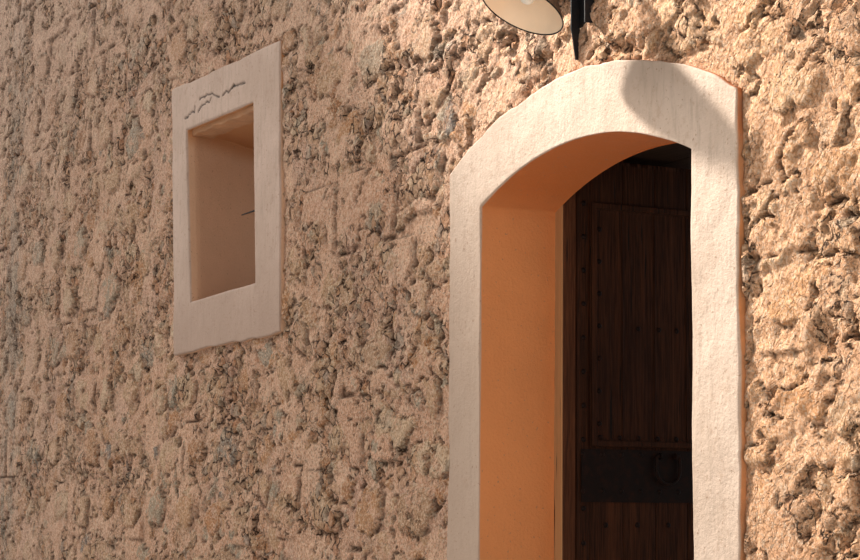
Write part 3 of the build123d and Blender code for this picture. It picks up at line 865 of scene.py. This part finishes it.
def make_piece(
    name, points, quads, finish, body="wall", nodes=(), marks=None, marks_name=""
):
    """A mesh object of quads that rides on a body and stands for some nodes."""
    points, quads, marks = drop_loose(np.asarray(points, float), np.asarray(quads), marks)
    mesh = bpy.data.meshes.new(name)
    mesh.vertices.add(len(points))
    mesh.vertices.foreach_set("co", points.ravel())
    mesh.loops.add(quads.size)
    mesh.loops.foreach_set("vertex_index", quads.ravel())
    mesh.polygons.add(len(quads))
    mesh.polygons.foreach_set("loop_start", np.arange(0, quads.size, 4))
    mesh.update(calc_edges=True)
    if marks is not None:
        layer = mesh.attributes.new(marks_name, "FLOAT_COLOR", "POINT")
        layer.data.foreach_set("color", np.asarray(marks, np.float32).ravel())
    mesh.shade_smooth()
    mesh.materials.append(finish)
    piece = bpy.data.objects.new(name, mesh)
    bpy.context.collection.objects.link(piece)
    if nodes:
        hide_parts(*nodes)
    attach(piece, body)
    print(name, len(quads) * 2, "triangles")
    return piece


def grid_quads(rows, columns):
    corner = (np.arange(rows - 1)[:, None] * columns + np.arange(columns - 1)).ravel()
    return np.stack([corner, corner + 1, corner + columns + 1, corner + columns], 1)


# %% [markdown]
# A sheet's relief fades out at its outer edges, to meet the next sheet. The depth mark compares
# each point with the mean of its neighbours, so that shade can be painted into narrow hollows.

# %% Sheets of rubble
front_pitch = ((0.013, 0.0095))
rough_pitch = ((0.034, 0.034))
arris_reach = 0.07
inner_margin = 0.008
end_relief = 0.35
no_fade = 9


def hollows(height, pitch, reach=2):
    """1 on open surface and down to 0 in the bottom of narrow hollows. A coarser grid spans wider
    ones, so they count from a greater depth."""
    wider = max(1, max(pitch) / front_pitch[0])
    total = height.copy()
    for axis in (0, 1):
        shifted = (np.roll(total, step, axis) for step in range(-reach, reach + 1))
        total = sum(shifted) / (2 * reach + 1)
    return 1 - ramp(total - height, 0.0025 * wider, 0.0085 * wider)


def onto_outline(u, v, outline, distance, reach):
    """Moves points that lie up to reach inside an opening onto its outline."""
    small = 1e-4
    slope_u = (outline(u + small, v) - outline(u - small, v)) / (2 * small)
    slope_v = (outline(u, v + small) - outline(u, v - small)) / (2 * small)
    inside = np.where((distance < 0) & (distance > -reach), distance, 0)
    return u - inside * slope_u, v - inside * slope_v


def rubble_sheet(
    name, u_range, v_range, pitch, seed, place, limits, nodes=(), outline=None, flip=False,
    cover=None, large=(),
):
    """limits are the sheet's outer edges. outline is the distance to an opening and cover the
    distance to plaster, under which the rubble stays low."""
    columns = max(2, round((u_range[1] - u_range[0]) / pitch[0]) + 1)
    rows = max(2, round((v_range[1] - v_range[0]) / pitch[1]) + 1)
    u, v = np.meshgrid(np.linspace(*u_range, columns), np.linspace(*v_range, rows))
    height, marks = rubble_relief(u, v, seed, large)
    (u0, u1), (v0, v1) = limits
    above_foot = v - v0 + (no_fade if v0 == 0 else 0)
    rim = np.minimum.reduce([u - u0, u1 - u, above_foot, v1 - v])
    height = height * ramp(rim, 0, arris_reach)
    if cover is not None:
        under = cover(u, v)
        height = np.minimum(height, np.where(under < 0, -0.003, 0.005 + under * 0.8))
    marks.append(hollows(height, pitch))
    quads = grid_quads(rows, columns)
    if outline is not None:
        distance = outline(u, v)
        quads = quads[distance.ravel()[quads].mean(1) > 0]
        if cover is None:
            height = height * ramp(distance, 0, arris_reach)
            u, v = onto_outline(u, v, outline, distance, 2 * max(pitch))
    if flip:
        quads = quads[:, ::-1]
    return make_piece(
        name, place(u.ravel(), v.ravel(), height.ravel()), quads, rubble,
        nodes=nodes, marks=np.stack([m.ravel() for m in marks], 1), marks_name="rubble_marks",
    )


def on_front(u, v, h):
    return np.stack([u, rubble_y - np.minimum(h, rubble_y - face_y), v], 1)


def on_back(u, v, h):
    return np.stack([u, inner_y + np.minimum(h, stone_proud - 0.0005), v], 1)


def low_relief(h):
    return np.minimum(h * end_relief, inner_margin - 0.001)


def on_end(side):
    x = right_end - inner_margin if side > 0 else left_end + inner_margin
    return lambda u, v, h: np.stack([x + side * low_relief(h), u, v], 1)


def on_top(u, v, h):
    return np.stack([u, v, wall_top - inner_margin + low_relief(h)], 1)


def on_foot(u, v, h):
    return np.stack([u, v, np.clip(h, 0, 0.004)], 1)


# %% [markdown]
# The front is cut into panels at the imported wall's own joints, so that each panel stands for its
# nodes. All of them read the same relief, so they meet without a step. The two panels at the right
# are nearest to the eye and get a finer grid.

# %% Front of the wall, in vertical panels
low_x, high_x = left_end + inner_margin, right_end - inner_margin
top_z = wall_top - inner_margin
window_left, window_right = (corner.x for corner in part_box("wall_under_window"))
door_left, door_right = (corner.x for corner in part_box("wall_over_door"))
left_middle = (low_x + window_left) / 2
front_panels = [
    ("rubble_far_left", low_x, left_middle, ()),
    ("rubble_left", left_middle, window_left, ("wall_left_end",)),
    ("rubble_round_window", window_left, window_right,
     ("wall_under_window", "wall_left_of_window", "wall_right_of_window", "wall_over_window")),
    ("rubble_between", window_right, door_left, ("wall_between",)),
    ("rubble_round_door", door_left, door_right,
     ("door_pier_left", "door_pier_right", "wall_over_door")),
    ("rubble_right", door_right, high_x, ("wall_right_end",)),
]
face_limits = ((low_x, high_x), (0, top_z))
front_seed, back_seed, top_seed, foot_seed = 11, 211, 611, 711
hidden_margin = 0.05
fine_panels, fine_share = ("rubble_round_door", "rubble_right"), 0.75
for name, x0, x1, nodes in front_panels:
    pitch = [step * (fine_share if name in fine_panels else 1) for step in front_pitch]
    rubble_sheet(
        name, (x0, x1), (0, top_z), pitch, front_seed, on_front, face_limits, nodes,
        outline=lambda u, v: plaster_distance(u, v) + hidden_margin, cover=plaster_distance,
        large=front_stones,
    )

# %% [markdown]
# The unseen sides repeat the same rubble, a little coarser. The back is open at the splayed
# window, the door's embrasure and the lintel's beams.

# %% Openings in the back
embrasure_near = -post_low.x
embrasure_far = threshold_high.x


def widened(corner):
    """The back opening's corner at the same height as one of the front opening's."""
    level = [
        v.co.x
        for name in ("wall_under_window", "wall_over_window")
        for v in frame["nodes"][name].data.vertices
        if abs(v.co.z - corner[1]) < 1e-4 and window_left + 0.01 < v.co.x < window_right - 0.01
    ]
    at_left = corner[0] < window_inner[:, 0].mean()
    return (min(level) if at_left else max(level)), corner[1]


window_wide = np.array([widened(corner) for corner in window_inner])
print("back of the window:", window_wide.round(3).tolist())


def box_distance(x, z, x_half, z0, z1):
    return np.maximum(np.abs(x) - x_half, np.maximum(z0 - z, z - z1))


def back_outline(x, z):
    door = box_distance(x, z, embrasure_far, -1, lintel_low.z)
    beams = box_distance(x, z, lintel_high.x, lintel_low.z, lintel_high.z)
    return np.minimum(np.minimum(door, beams), outline_distance(x, z, window_wide))


# %% Back, ends, top and foot
back_middle = (low_x + high_x) / 2
back_panels = (("rubble_back_left", low_x, back_middle), ("rubble_back_right", back_middle, high_x))
for name, x0, x1 in back_panels:
    rubble_sheet(
        name, (x0, x1), (0, top_z), rough_pitch, back_seed, on_back, face_limits,
        outline=back_outline, flip=True, large=back_stones,
    )
through = (rubble_y, inner_y)
end_limits = (through, (0, top_z))
for side, name, seed in ((-1, "rubble_left_end", 411), (1, "rubble_right_end", 511)):
    rubble_sheet(
        name, through, (0, top_z), rough_pitch, seed, on_end(side), end_limits, flip=side < 0
    )
top_limits = ((low_x, high_x), through)
rubble_sheet("rubble_top", (low_x, high_x), through, rough_pitch, top_seed, on_top, top_limits)
foot_pitch = (0.10, 0.10)
foot_parts = (
    ("rubble_foot_left", low_x, -embrasure_far), ("rubble_foot_right", embrasure_far, high_x)
)
for name, x0, x1 in foot_parts:
    rubble_sheet(name, (x0, x1), through, foot_pitch, foot_seed, on_foot, top_limits, flip=True)

# %% [markdown]
# Plaster is laid as rings: each ring is a line along the opening, and the next ring lies further
# across the section, from the reveal's back edge round the rounded arris and over the band to its
# outer edge. A trowelled surface is never quite flat, so points move a few millimetres along their
# normals.


# %% Helpers for plaster
def section_points(stations, step):
    """Numbers along a section between given stations, each stretch cut to about step."""
    out = [np.array(stations[0], float)]
    for a, b in zip(stations[:-1], stations[1:]):
        a, b = np.array(a, float), np.array(b, float)
        count = max(1, math.ceil(np.abs(b - a).max() / step))
        out += [a + (b - a) * k / count for k in range(1, count + 1)]
    return np.array(out)


def normals_of(grid):
    """Normals of a grid of points from its two directions."""
    du = np.gradient(grid, axis=1)
    dv = np.gradient(grid, axis=0)
    n = np.cross(du, dv)
    return n / (np.linalg.norm(n, axis=2, keepdims=True) + 1e-9)


def lay_plaster(name, grid, finish, crack=0.0, dirt=0.0, nodes=(), flip=True):
    """A piece from a grid of points, marked for its finish with cracks and dirt."""
    shape = grid.shape[:2]
    marks = np.stack([np.broadcast_to(mark, shape) for mark in (crack, dirt, 0.0, 1.0)], 2)
    quads = grid_quads(*shape)
    make_piece(
        name, grid.reshape(-1, 3), quads[:, ::-1] if flip else quads, finish,
        nodes=nodes, marks=marks.reshape(-1, 4), marks_name="plaster_marks",
    )


# %% Outline of the door
def door_outline(step):
    """Matching points along the opening's edge and the band's outer edge."""
    outer_radius = arch_radius + band
    outer_spring = arch_centre + math.sqrt(outer_radius**2 - (half + band) ** 2)
    count = round(springing / step)
    jamb = np.linspace(0, 1, count + 1)[:-1]
    turn = np.linspace(-1, 1, round(2 * half / step) + 1)
    lines = []
    for x, spring, radius in (
        (half, springing, arch_radius), (half + band, outer_spring, outer_radius)
    ):
        angle = math.asin(x / radius)
        line = [(-x, spring * t) for t in jamb]
        for t in turn:
            line.append((radius * math.sin(angle * t), arch_centre + radius * math.cos(angle * t)))
        line += [(x, spring * t) for t in jamb[::-1]]
        lines.append(np.array(line))
    return lines


plaster_step = 0.012
inner_line, outer_line = door_outline(plaster_step)
print("door outline:", len(inner_line), "points")

# %% [markdown]
# The section is a list of stations: a share of the way across the band, and a depth in Y. Close
# pairs of stations hold the small rounds of the arris and the rim in place.

# %% Section of the door's plaster
arris = 0.004
rim_round = 0.005
support = 0.003
behind_rubble = rubble_y + 0.012
stations = [
    (0, ring_y), (0, face_y + arris + support), (0, face_y + arris),
    (arris * 0.3 / band, face_y + arris * 0.3), (arris / band, face_y),
    ((arris + support) / band, face_y), (1 - (rim_round + support) / band, face_y),
    (1 - rim_round / band, face_y), (1 - rim_round * 0.3 / band, face_y + rim_round * 0.3),
    (1, face_y + rim_round), (1, behind_rubble),
]
section = []
for (share0, y0), (share1, y1) in zip(stations[:-1], stations[1:]):
    longest = max(abs(share1 - share0) * band, abs(y1 - y0))
    count = max(1, math.ceil(longest / plaster_step))
    for k in range(count):
        section.append((share0 + (share1 - share0) * k / count, y0 + (y1 - y0) * k / count))
section = np.array(section + [stations[-1]])
print("section:", len(section), "points")

# %% Plaster round the door
across, depth = section[:, 0], section[:, 1]
line = inner_line[None] + (outer_line - inner_line)[None] * across[:, None, None]
grid = np.stack([line[..., 0], np.broadcast_to(depth[:, None], line.shape[:2]), line[..., 1]], 2)
along = np.cumsum(np.r_[0, np.hypot(*np.diff(inner_line, axis=0).T)])
laid = np.cumsum(np.r_[0, np.hypot(np.diff(across) * band, np.diff(depth))])
s = np.broadcast_to(along, grid.shape[:2])
t = np.broadcast_to(laid[:, None], grid.shape[:2])
uneven = 0.0022 * bumps(s, t, 0.25, 71) + 0.0012 * bumps(s, t, 0.08, 72)
uneven = uneven + 0.0006 * bumps(s, t, 0.03, 73)
wander = 0.006 * bumps(s, t * 0, 0.22, 74) + 0.003 * bumps(s, t * 0, 0.06, 75)
wander = (wander + 0.002 * bumps(s, t * 0, 0.024, 78)) * ramp(across, 0.75, 1)[:, None]
outward = outer_line - inner_line
outward = outward / np.linalg.norm(outward, axis=1, keepdims=True)
grid[..., 0] += outward[None, :, 0] * wander
grid[..., 2] += outward[None, :, 1] * wander
grid += normals_of(grid) * (uneven - 0.001)[..., None]
grid[..., 2] = np.maximum(grid[..., 2], 0)
dirt = ramp(0.35 - grid[..., 2], 0, 0.35) * (0.5 + 0.5 * bumps(s, t, 0.1, 76))
dirt = np.maximum(dirt, ramp(across, 0.99, 1.0)[:, None] * (0.6 + 0.4 * bumps(s, t, 0.05, 77)))
lay_plaster(
    "door_plaster", grid, door_plaster, dirt=np.clip(dirt, 0, 1),
    nodes=("door_plaster_left", "door_plaster_right", "door_plaster_arch"),
)

# %% [markdown]
# The window's plaster is laid the same way, round four sides: over the face, in square for a
# hand's width, then along the splayed sides to the back. The head has cracked over the opening,
# so the points near the crack lines sink and are marked dark.

# %% Cracks over the window
crack_lines = [
    [(-3.455, 3.005), (-3.40, 3.012), (-3.335, 3.018)],
    [(-3.335, 3.018), (-3.33, 3.045)],
    [(-3.29, 3.01), (-3.25, 3.03), (-3.17, 3.03), (-3.13, 3.035)],
    [(-3.27, 3.06), (-3.22, 3.065), (-3.11, 3.05), (-3.05, 3.03), (-3.02, 3.025)],
    [(-2.99, 3.03), (-2.95, 3.035), (-2.92, 3.03), (-2.86, 3.045), (-2.80, 3.035), (-2.72, 3.035)],
]


def line_distance(x, z, line):
    best = np.full(x.shape, 9.0)
    for (ax, az), (bx, bz) in zip(line[:-1], line[1:]):
        length = (bx - ax) ** 2 + (bz - az) ** 2
        k = np.clip(((x - ax) * (bx - ax) + (z - az) * (bz - az)) / length, 0, 1)
        best = np.minimum(best, np.hypot(x - ax - k * (bx - ax), z - az - k * (bz - az)))
    return best


print("cracks:", len(crack_lines))

# %% Rings round the window
edge_y = face_y + 0.04
wide_y = edge_y + 0.44
window_step, splay_step = 0.010, 0.03
head_share = 0.6
counts = []
for i in range(4):
    side = np.linalg.norm(window_outer[(i + 1) % 4] - window_outer[i])
    counts.append(max(2, round(side / (window_step * (head_share if i == 2 else 1)))))


def round_quad(corners):
    line = []
    for i in range(4):
        a, b = corners[i], corners[(i + 1) % 4]
        line += [a + (b - a) * k / counts[i] for k in range(counts[i])]
    return np.array(line + [corners[0]])


rings = [
    (window_outer, behind_rubble), (window_outer, face_y + 0.005),
    (window_outer * 0.985 + window_inner * 0.015, face_y),
    (window_inner + (window_outer - window_inner) * 0.03, face_y),
    (window_inner, face_y + 0.006), (window_inner, edge_y),
    (window_wide, wide_y), (window_wide, inner_y),
]
lines = [(round_quad(corners), y) for corners, y in rings]
grid = [np.insert(lines[0][0], 1, lines[0][1], axis=1)]
for (a, ya), (b, yb) in zip(lines[:-1], lines[1:]):
    reach = max(np.linalg.norm(b - a, axis=1).max(), abs(yb - ya))
    count = max(1, math.ceil(reach / (window_step if ya < edge_y else splay_step)))
    for k in range(1, count + 1):
        w = k / count
        grid.append(np.insert(a + (b - a) * w, 1, ya + (yb - ya) * w, axis=1))
grid = np.array(grid)
print("window plaster:", len(grid), "rings of", grid.shape[1], "points")

# %% Plaster round the window
x, y, z = grid[..., 0], grid[..., 1], grid[..., 2]
uneven = 0.0022 * bumps(x, z + y, 0.22, 81) + 0.001 * bumps(x, z + y, 0.06, 82)
wander_x = 0.005 * bumps(x, z, 0.12, 83)
wander_z = 0.006 * bumps(x, z, 0.10, 84)
near_rim = ramp(-outline_distance(x, z, window_outer), 0.05, 0.0)
ragged_x, ragged_z = x + 0.008 * bumps(x, z, 0.03, 85), z + 0.008 * bumps(x, z, 0.03, 86)
crack = np.zeros(x.shape)
for line in crack_lines:
    crack = np.maximum(crack, ramp(line_distance(ragged_x, ragged_z, line), 0.006, 0.002))
crack = crack * (y < face_y + 0.002)
grid += normals_of(grid) * (uneven - 0.001 - crack * 0.006)[..., None]
grid[..., 0] += wander_x * near_rim
grid[..., 2] += wander_z * near_rim
grid[..., 1] = np.minimum(grid[..., 1], inner_y)
lay_plaster(
    "window_plaster", grid, window_plaster, crack=crack,
    nodes=tuple("window_plaster_" + side for side in ("sill", "right", "head", "left")),
)

# %% [markdown]
# A rough strip hangs a little below the head, just behind its front edge. It is one profile of four
# corners, drawn along the opening and roughened.

# %% Strip under the window's head
strip_drop, strip_count = 0.028, 60
strip_front, strip_back = face_y + 0.025, face_y + 0.13
strip_section = [
    (strip_front, 0), (strip_front, strip_drop), (strip_back, strip_drop), (strip_back + 0.03, 0)
]
profile = section_points(strip_section, 0.01)
deep, drop = profile[:, :1], profile[:, 1:]
head_left, head_right = window_inner[3], window_inner[2]
run = np.linspace(0, 1, strip_count)[None, :]
x = head_left[0] + (head_right[0] - head_left[0]) * run + 0 * deep
z = head_left[1] + (head_right[1] - head_left[1]) * run - drop
y = deep + 0 * x
grid = np.stack([x, y, z], 2)
rough_edge = 0.004 + 0.005 * bumps(x, y, 0.05, 87) + 0.003 * bumps(x, y, 0.02, 88)
grid[..., 2] += drop / strip_drop * rough_edge
grid[..., 1] += 0.004 * bumps(x, z, 0.04, 89)
lay_plaster("window_head_strip", grid, window_plaster, dirt=0.35 + 0.3 * bumps(x, z, 0.05, 90))

# %% [markdown]
# Behind the arch the opening widens for the leaves. Its sides, the shoulders behind the posts and
# the back of the arch ring above them are rough plaster.

# %% Embrasure
embrasure_step = 0.03
embrasure_rows, ring_rows, arch_count = 60, 4, 41


def ruled(name, first, second, rows, flip=False):
    """A sheet between two lines with as many points each."""
    grid = np.array([first + (second - first) * k / rows for k in range(rows + 1)])
    rough = 0.002 * bumps(grid[..., 0] + grid[..., 1], grid[..., 2], 0.1, 91)
    rough[0] = rough[-1] = 0
    grid += normals_of(grid) * rough[..., None]
    lay_plaster(name, grid, door_plaster, flip=flip)


for side, name in ((-1, "left"), (1, "right")):
    plan = [(side * half, ring_y), (side * embrasure_near, ring_y), (side * embrasure_far, inner_y)]
    plan = section_points(plan, embrasure_step)
    low = np.insert(plan, 2, sill_top, axis=1)
    high = np.insert(plan, 2, lintel_low.z, axis=1)
    ruled("embrasure_" + name, low, high, embrasure_rows, flip=side < 0)
across = np.linspace(-half, half, arch_count)
curve = arch_centre + np.sqrt(arch_radius**2 - across**2)
at_ring, at_lintel = np.full(arch_count, ring_y), np.full(arch_count, lintel_low.z)
low = np.stack([across, at_ring, curve], 1)
high = np.stack([across, at_ring, at_lintel], 1)
ruled("arch_ring_back", low, high, ring_rows)

# %% [markdown]
# The leaves are planks. Each plank is one bar with softened edges, drawn up the door, whose outer
# face follows the grain. Leaf coordinates run from the hinge edge, so one maker serves both leaves.

# %% Sizes of the leaves
leaf_low, leaf_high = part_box("left_leaf")
hinge_y = leaf_low.y
leaf_width = leaf_high.y - leaf_low.y
outer_x = -leaf_high.x
leaf_thick = leaf_high.x - leaf_low.x
frame_low, frame_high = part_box("left_leaf_frame")
leaf_foot, leaf_head = frame_low.z - 0.02, frame_high.z + 0.02
bead_low, bead_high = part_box("left_leaf_moulding")
bead = 0.020
recess = 0.005
heel = 0.015
seams = [0.0, 0.051, 0.178, 0.305, 0.432, 0.534, leaf_width]
print("leaf:", round(leaf_width, 3), "m wide, of", len(seams) - 1, "planks")


def on_leaf(side, across, inward, z):
    """A point of a leaf: across from the hinge edge, inward from its outer face."""
    return np.stack([side * (outer_x + inward), hinge_y + across, z], -1)


def tube_quads(rows, turns):
    """Quads between closed rings of points."""
    quads = []
    for low in range(0, (rows - 1) * turns, turns):
        for k in range(turns):
            after = (k + 1) % turns
            quads.append((low + k, low + after, low + turns + after, low + turns + k))
    return quads


# %% One plank
plank_rows = 150
plank_pitch = 0.007
soft = 0.003
slack = 0.0008


def plank_profile(a0, a1):
    """The plank's section as (across, inward): the first one has the rounded heel."""
    left_round = heel if a0 == 0 else soft
    profile = [(a0, leaf_thick), (a0, left_round)]
    if a0 == 0:
        turn = [math.radians(a) for a in (22, 45, 68)]
        profile += [(a0 + heel * (1 - math.cos(a)), heel * (1 - math.sin(a))) for a in turn]
    profile.append((a0 + left_round, 0))
    count = max(2, round((a1 - a0 - left_round - soft) / plank_pitch))
    start, stop = a0 + left_round, a1 - soft
    profile += [(start + (stop - start) * k / count, 0) for k in range(1, count + 1)]
    profile += [(a1, soft), (a1, leaf_thick)]
    return np.array(profile)


def plank(side, a0, a1, seed):
    """Points and quads of one plank."""
    profile = plank_profile(a0, a1)
    n = len(profile)
    z = np.linspace(leaf_foot, leaf_head, plank_rows)
    across = np.broadcast_to(profile[:, 0], (plank_rows, n)).copy()
    inward = np.broadcast_to(profile[:, 1], (plank_rows, n)).copy()
    height = np.broadcast_to(z[:, None], across.shape)
    grain = 0.0011 * bumps(across * 9, height * 0.6, 0.06, seed)
    grain = grain + 0.0007 * bumps(across * 30, height, 0.09, seed + 1)
    foot_wear = 0.002 * ramp(0.5 - height, 0, 0.5) * (1 + bumps(across, height, 0.1, seed + 2))
    sunk = (across > bead_low.y - hinge_y + bead) & (across < bead_high.y - hinge_y - bead)
    sunk = sunk & (height > bead_low.z + bead) & (height < bead_high.z - bead)
    carved = np.abs(grain) + foot_wear + np.where(sunk, recess, 0) + 0.0004
    inward = np.where(inward < 0.001, carved, inward)
    across = np.clip(across, a0 + slack, a1 - slack)
    points = on_leaf(side, across, inward, height).reshape(-1, 3)
    quads = tube_quads(plank_rows, n)
    for base in (0, (plank_rows - 1) * n):
        for c in range((n - 2) // 2):
            cap = (base + c, base + c + 1, base + n - 2 - c, base + n - 1 - c)
            quads.append(cap if base == 0 else cap[::-1])
    quads = np.array(quads)
    return points, quads if side > 0 else quads[:, ::-1]


# %% Planks of the leaves
pin_radius = 0.012


def pin(side, z0, z1, turns=16):
    """A plain round pivot pin at the leaf's heel."""
    child = "left_leaf" if side < 0 else "right_leaf"
    joint = next(j for j in frame["joints"] if j["child"] == child)
    x, y = joint["pos_m"][:2]
    angle = np.linspace(0, 2 * math.pi, turns, endpoint=False)
    points = [
        (x + pin_radius * math.cos(a), y + pin_radius * math.sin(a), z)
        for z in (z0, z1) for a in angle
    ]
    return np.array(points), np.array(tube_quads(2, turns))


def join(parts):
    """One array of points and one of quads from several."""
    points, quads, start = [], [], 0
    for p, q in parts:
        points.append(p)
        quads.append(q + start)
        start += len(p)
    return np.concatenate(points), np.concatenate(quads)


plank_edges = list(zip(seams[:-1], seams[1:]))
for side, name in ((-1, "left"), (1, "right")):
    parts = [plank(side, a0, a1, 101 + 7 * n) for n, (a0, a1) in enumerate(plank_edges)]
    parts += [pin(side, leaf_low.z, leaf_foot), pin(side, leaf_head, leaf_high.z)]
    points, quads = join(parts)
    leaf = name + "_leaf"
    make_piece(name + "_planks", points, quads, door_timber, leaf, (leaf,))

# %% [markdown]
# Forged nails hold the planks to the ladder frame behind. Each head is a low dome hammered a
# little out of round. They stand in two columns along the hinge side, in a row over the iron band,
# and across each rail, as they are in the photograph, and the free side repeats them.

# %% One nail
nail_radius = 0.009
nail_rise, band_nail_rise = 0.0055, 0.004


def nail(side, across, z, base, radius, rise, rng):
    """Points and quads of one domed head that stands on depth base."""
    turns, rings = 10, 3
    points = []
    for r in range(rings + 1):
        a = r / rings * math.pi / 2
        for k in range(turns):
            b = 2 * math.pi * k / turns
            reach = radius * math.cos(a) * (1 + 0.10 * rng.uniform(-1, 1)) + 1e-5
            out, up = reach * math.cos(b), reach * math.sin(b)
            points.append(on_leaf(side, across + out, base - rise * math.sin(a), z + up))
    quads = np.array(tube_quads(rings + 1, turns))
    return np.array(points), quads if side > 0 else quads[:, ::-1]


# %% Nails
band_low, band_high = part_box("left_lock_band")
panel_low, panel_high = bead_low.z + bead, bead_high.z - bead
column_step, panel_step, row_step, rail_step = 0.1115, 0.1075, 0.0745, 0.122
edge_column, panel_column = 0.025, 0.089
rail_heights = (0.20, 0.75, 1.20)
band_rows, band_depth = (1.430, 1.310), -0.004
panel_row, panel_row_height = (0.241, 0.324, 0.394), 1.850
nail_spots = []
for z in np.arange(leaf_foot + 0.09, leaf_head - 0.05, column_step):
    if not band_low.z - 0.02 < z < band_high.z + 0.02:
        nail_spots += [(edge_column, z, 0), (leaf_width - edge_column, z, 0)]
for z in np.arange(panel_low + 0.055, panel_high - 0.02, panel_step):
    nail_spots += [(panel_column, z, recess), (leaf_width - panel_column, z, recess)]
for across in np.arange(0.092, leaf_width - 0.06, row_step):
    nail_spots.append((across, panel_low + 0.010, recess))
nail_spots += [(across, panel_row_height, recess) for across in panel_row]
for z in rail_heights:
    nail_spots += [(across, z, 0) for across in np.arange(0.11, leaf_width - 0.08, rail_step)]
for across in np.arange(0.020, leaf_width, row_step):
    nail_spots += [(across, z, band_depth) for z in band_rows]
for side, name in ((-1, "left"), (1, "right")):
    rng = np.random.default_rng(5)
    parts = []
    for across, z, base in nail_spots:
        rise = nail_rise if base >= 0 else band_nail_rise
        parts.append(nail(side, across, z, base, nail_radius, rise, rng))
    points, quads = join(parts)
    make_piece(name + "_nails", points, quads, wrought_iron, name + "_leaf")

# %% [markdown]
# The lamp's shade is spun sheet, so its section is turned about one axis: dark enamel outside,
# cream inside, and a rolled rim between.

# %% Lamp shade
shade_low, shade_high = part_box("lamp_shade")
lamp_x = (shade_low.x + shade_high.x) / 2
shade_tilt = math.radians(27.2)
rim_radius, neck_radius, shade_length, shade_swell = 0.1327, 0.032, 0.120, 0.0075
rim_out, rim_height = 0.215, 2.711
rim_centre = Vector((lamp_x, face_y - rim_out, rim_height))
shade_axis = Vector((0, math.sin(shade_tilt), math.cos(shade_tilt)))


def spun(name, profile, finish, nodes=(), turns=72):
    """A surface turned about the shade's axis from (radius, distance along it) points."""
    side_a = Vector((1, 0, 0))
    side_b = shade_axis.cross(side_a)
    points = []
    for radius, along in profile:
        for k in range(turns):
            a = 2 * math.pi * k / turns
            out = (side_a * math.cos(a) + side_b * math.sin(a)) * radius
            points.append(rim_centre + shade_axis * along + out)
    quads = np.array(tube_quads(len(profile), turns))
    return make_piece(name, np.array(points), quads, finish, nodes=nodes)


def cone_line(inset, count=12):
    """The shade's section from rim to neck, a cone that swells a little."""
    line = []
    for k in range(count + 1):
        t = k / count
        swell = shade_swell * math.sin(math.pi * t)
        radius = rim_radius + (neck_radius - rim_radius) * t + swell - inset
        line.append((radius, shade_length * t))
    return line


rim_thick = 0.0022
rim_middle = rim_radius - 0.00125
rim_roll = [
    (rim_middle + rim_thick * math.cos(a), rim_thick * math.sin(a))
    for a in np.linspace(math.pi, -math.pi, 17)
]
spun("shade_outside", cone_line(0), enamel_out, nodes=("lamp_shade",))
spun("shade_inside", cone_line(0.0025)[::-1], enamel_in)
spun("shade_rim", rim_roll, lamp_iron)

# %% [markdown]
# The nodes whose shape is already right keep it and only take a finish.


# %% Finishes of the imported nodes
def dress(names, finish):
    for name in names:
        node = frame["nodes"][name]
        node.data.materials.clear()
        node.data.materials.append(finish)
    print(finish.name, "on", len(names), "nodes")


both = ("left", "right")
timber_parts = ("_leaf_frame", "_leaf_moulding")
iron_parts = (
    "_lock_band", "_drop_handle", "_handle_staple_hinge_side", "_handle_staple_free_side"
)
dress([side + part for side in both for part in timber_parts], door_timber)
dress([side + part for side in both for part in iron_parts] + ["window_spike"], wrought_iron)
dress(["frame_post_" + side for side in both], post_timber)
dress(["lintel_beam_" + part for part in ("outer", "middle", "inner")], beam_timber)
dress(["threshold"], threshold_stone)
dress(["lamp_wall_plate", "lamp_holder", "lamp_arm"], lamp_iron)
dress(["lamp_bulb"], bulb_glass)

# %% [markdown]
# A plain pale floor, which isn't part of the object.

# %% Floor
floor_size = 60
corners = [(x * floor_size, y * floor_size, 0) for x, y in ((-1, -1), (1, -1), (1, 1), (-1, 1))]
floor_mesh = bpy.data.meshes.new("floor")
floor_mesh.from_pydata(corners, [], [(0, 1, 2, 3)])
floor = bpy.data.objects.new("floor", floor_mesh)
bpy.context.collection.objects.link(floor)
pale = Finish("studio_floor", Roughness=0.9)
floor_mesh.materials.append(pale.surface(Base_Color=(0.80, 0.79, 0.77)))
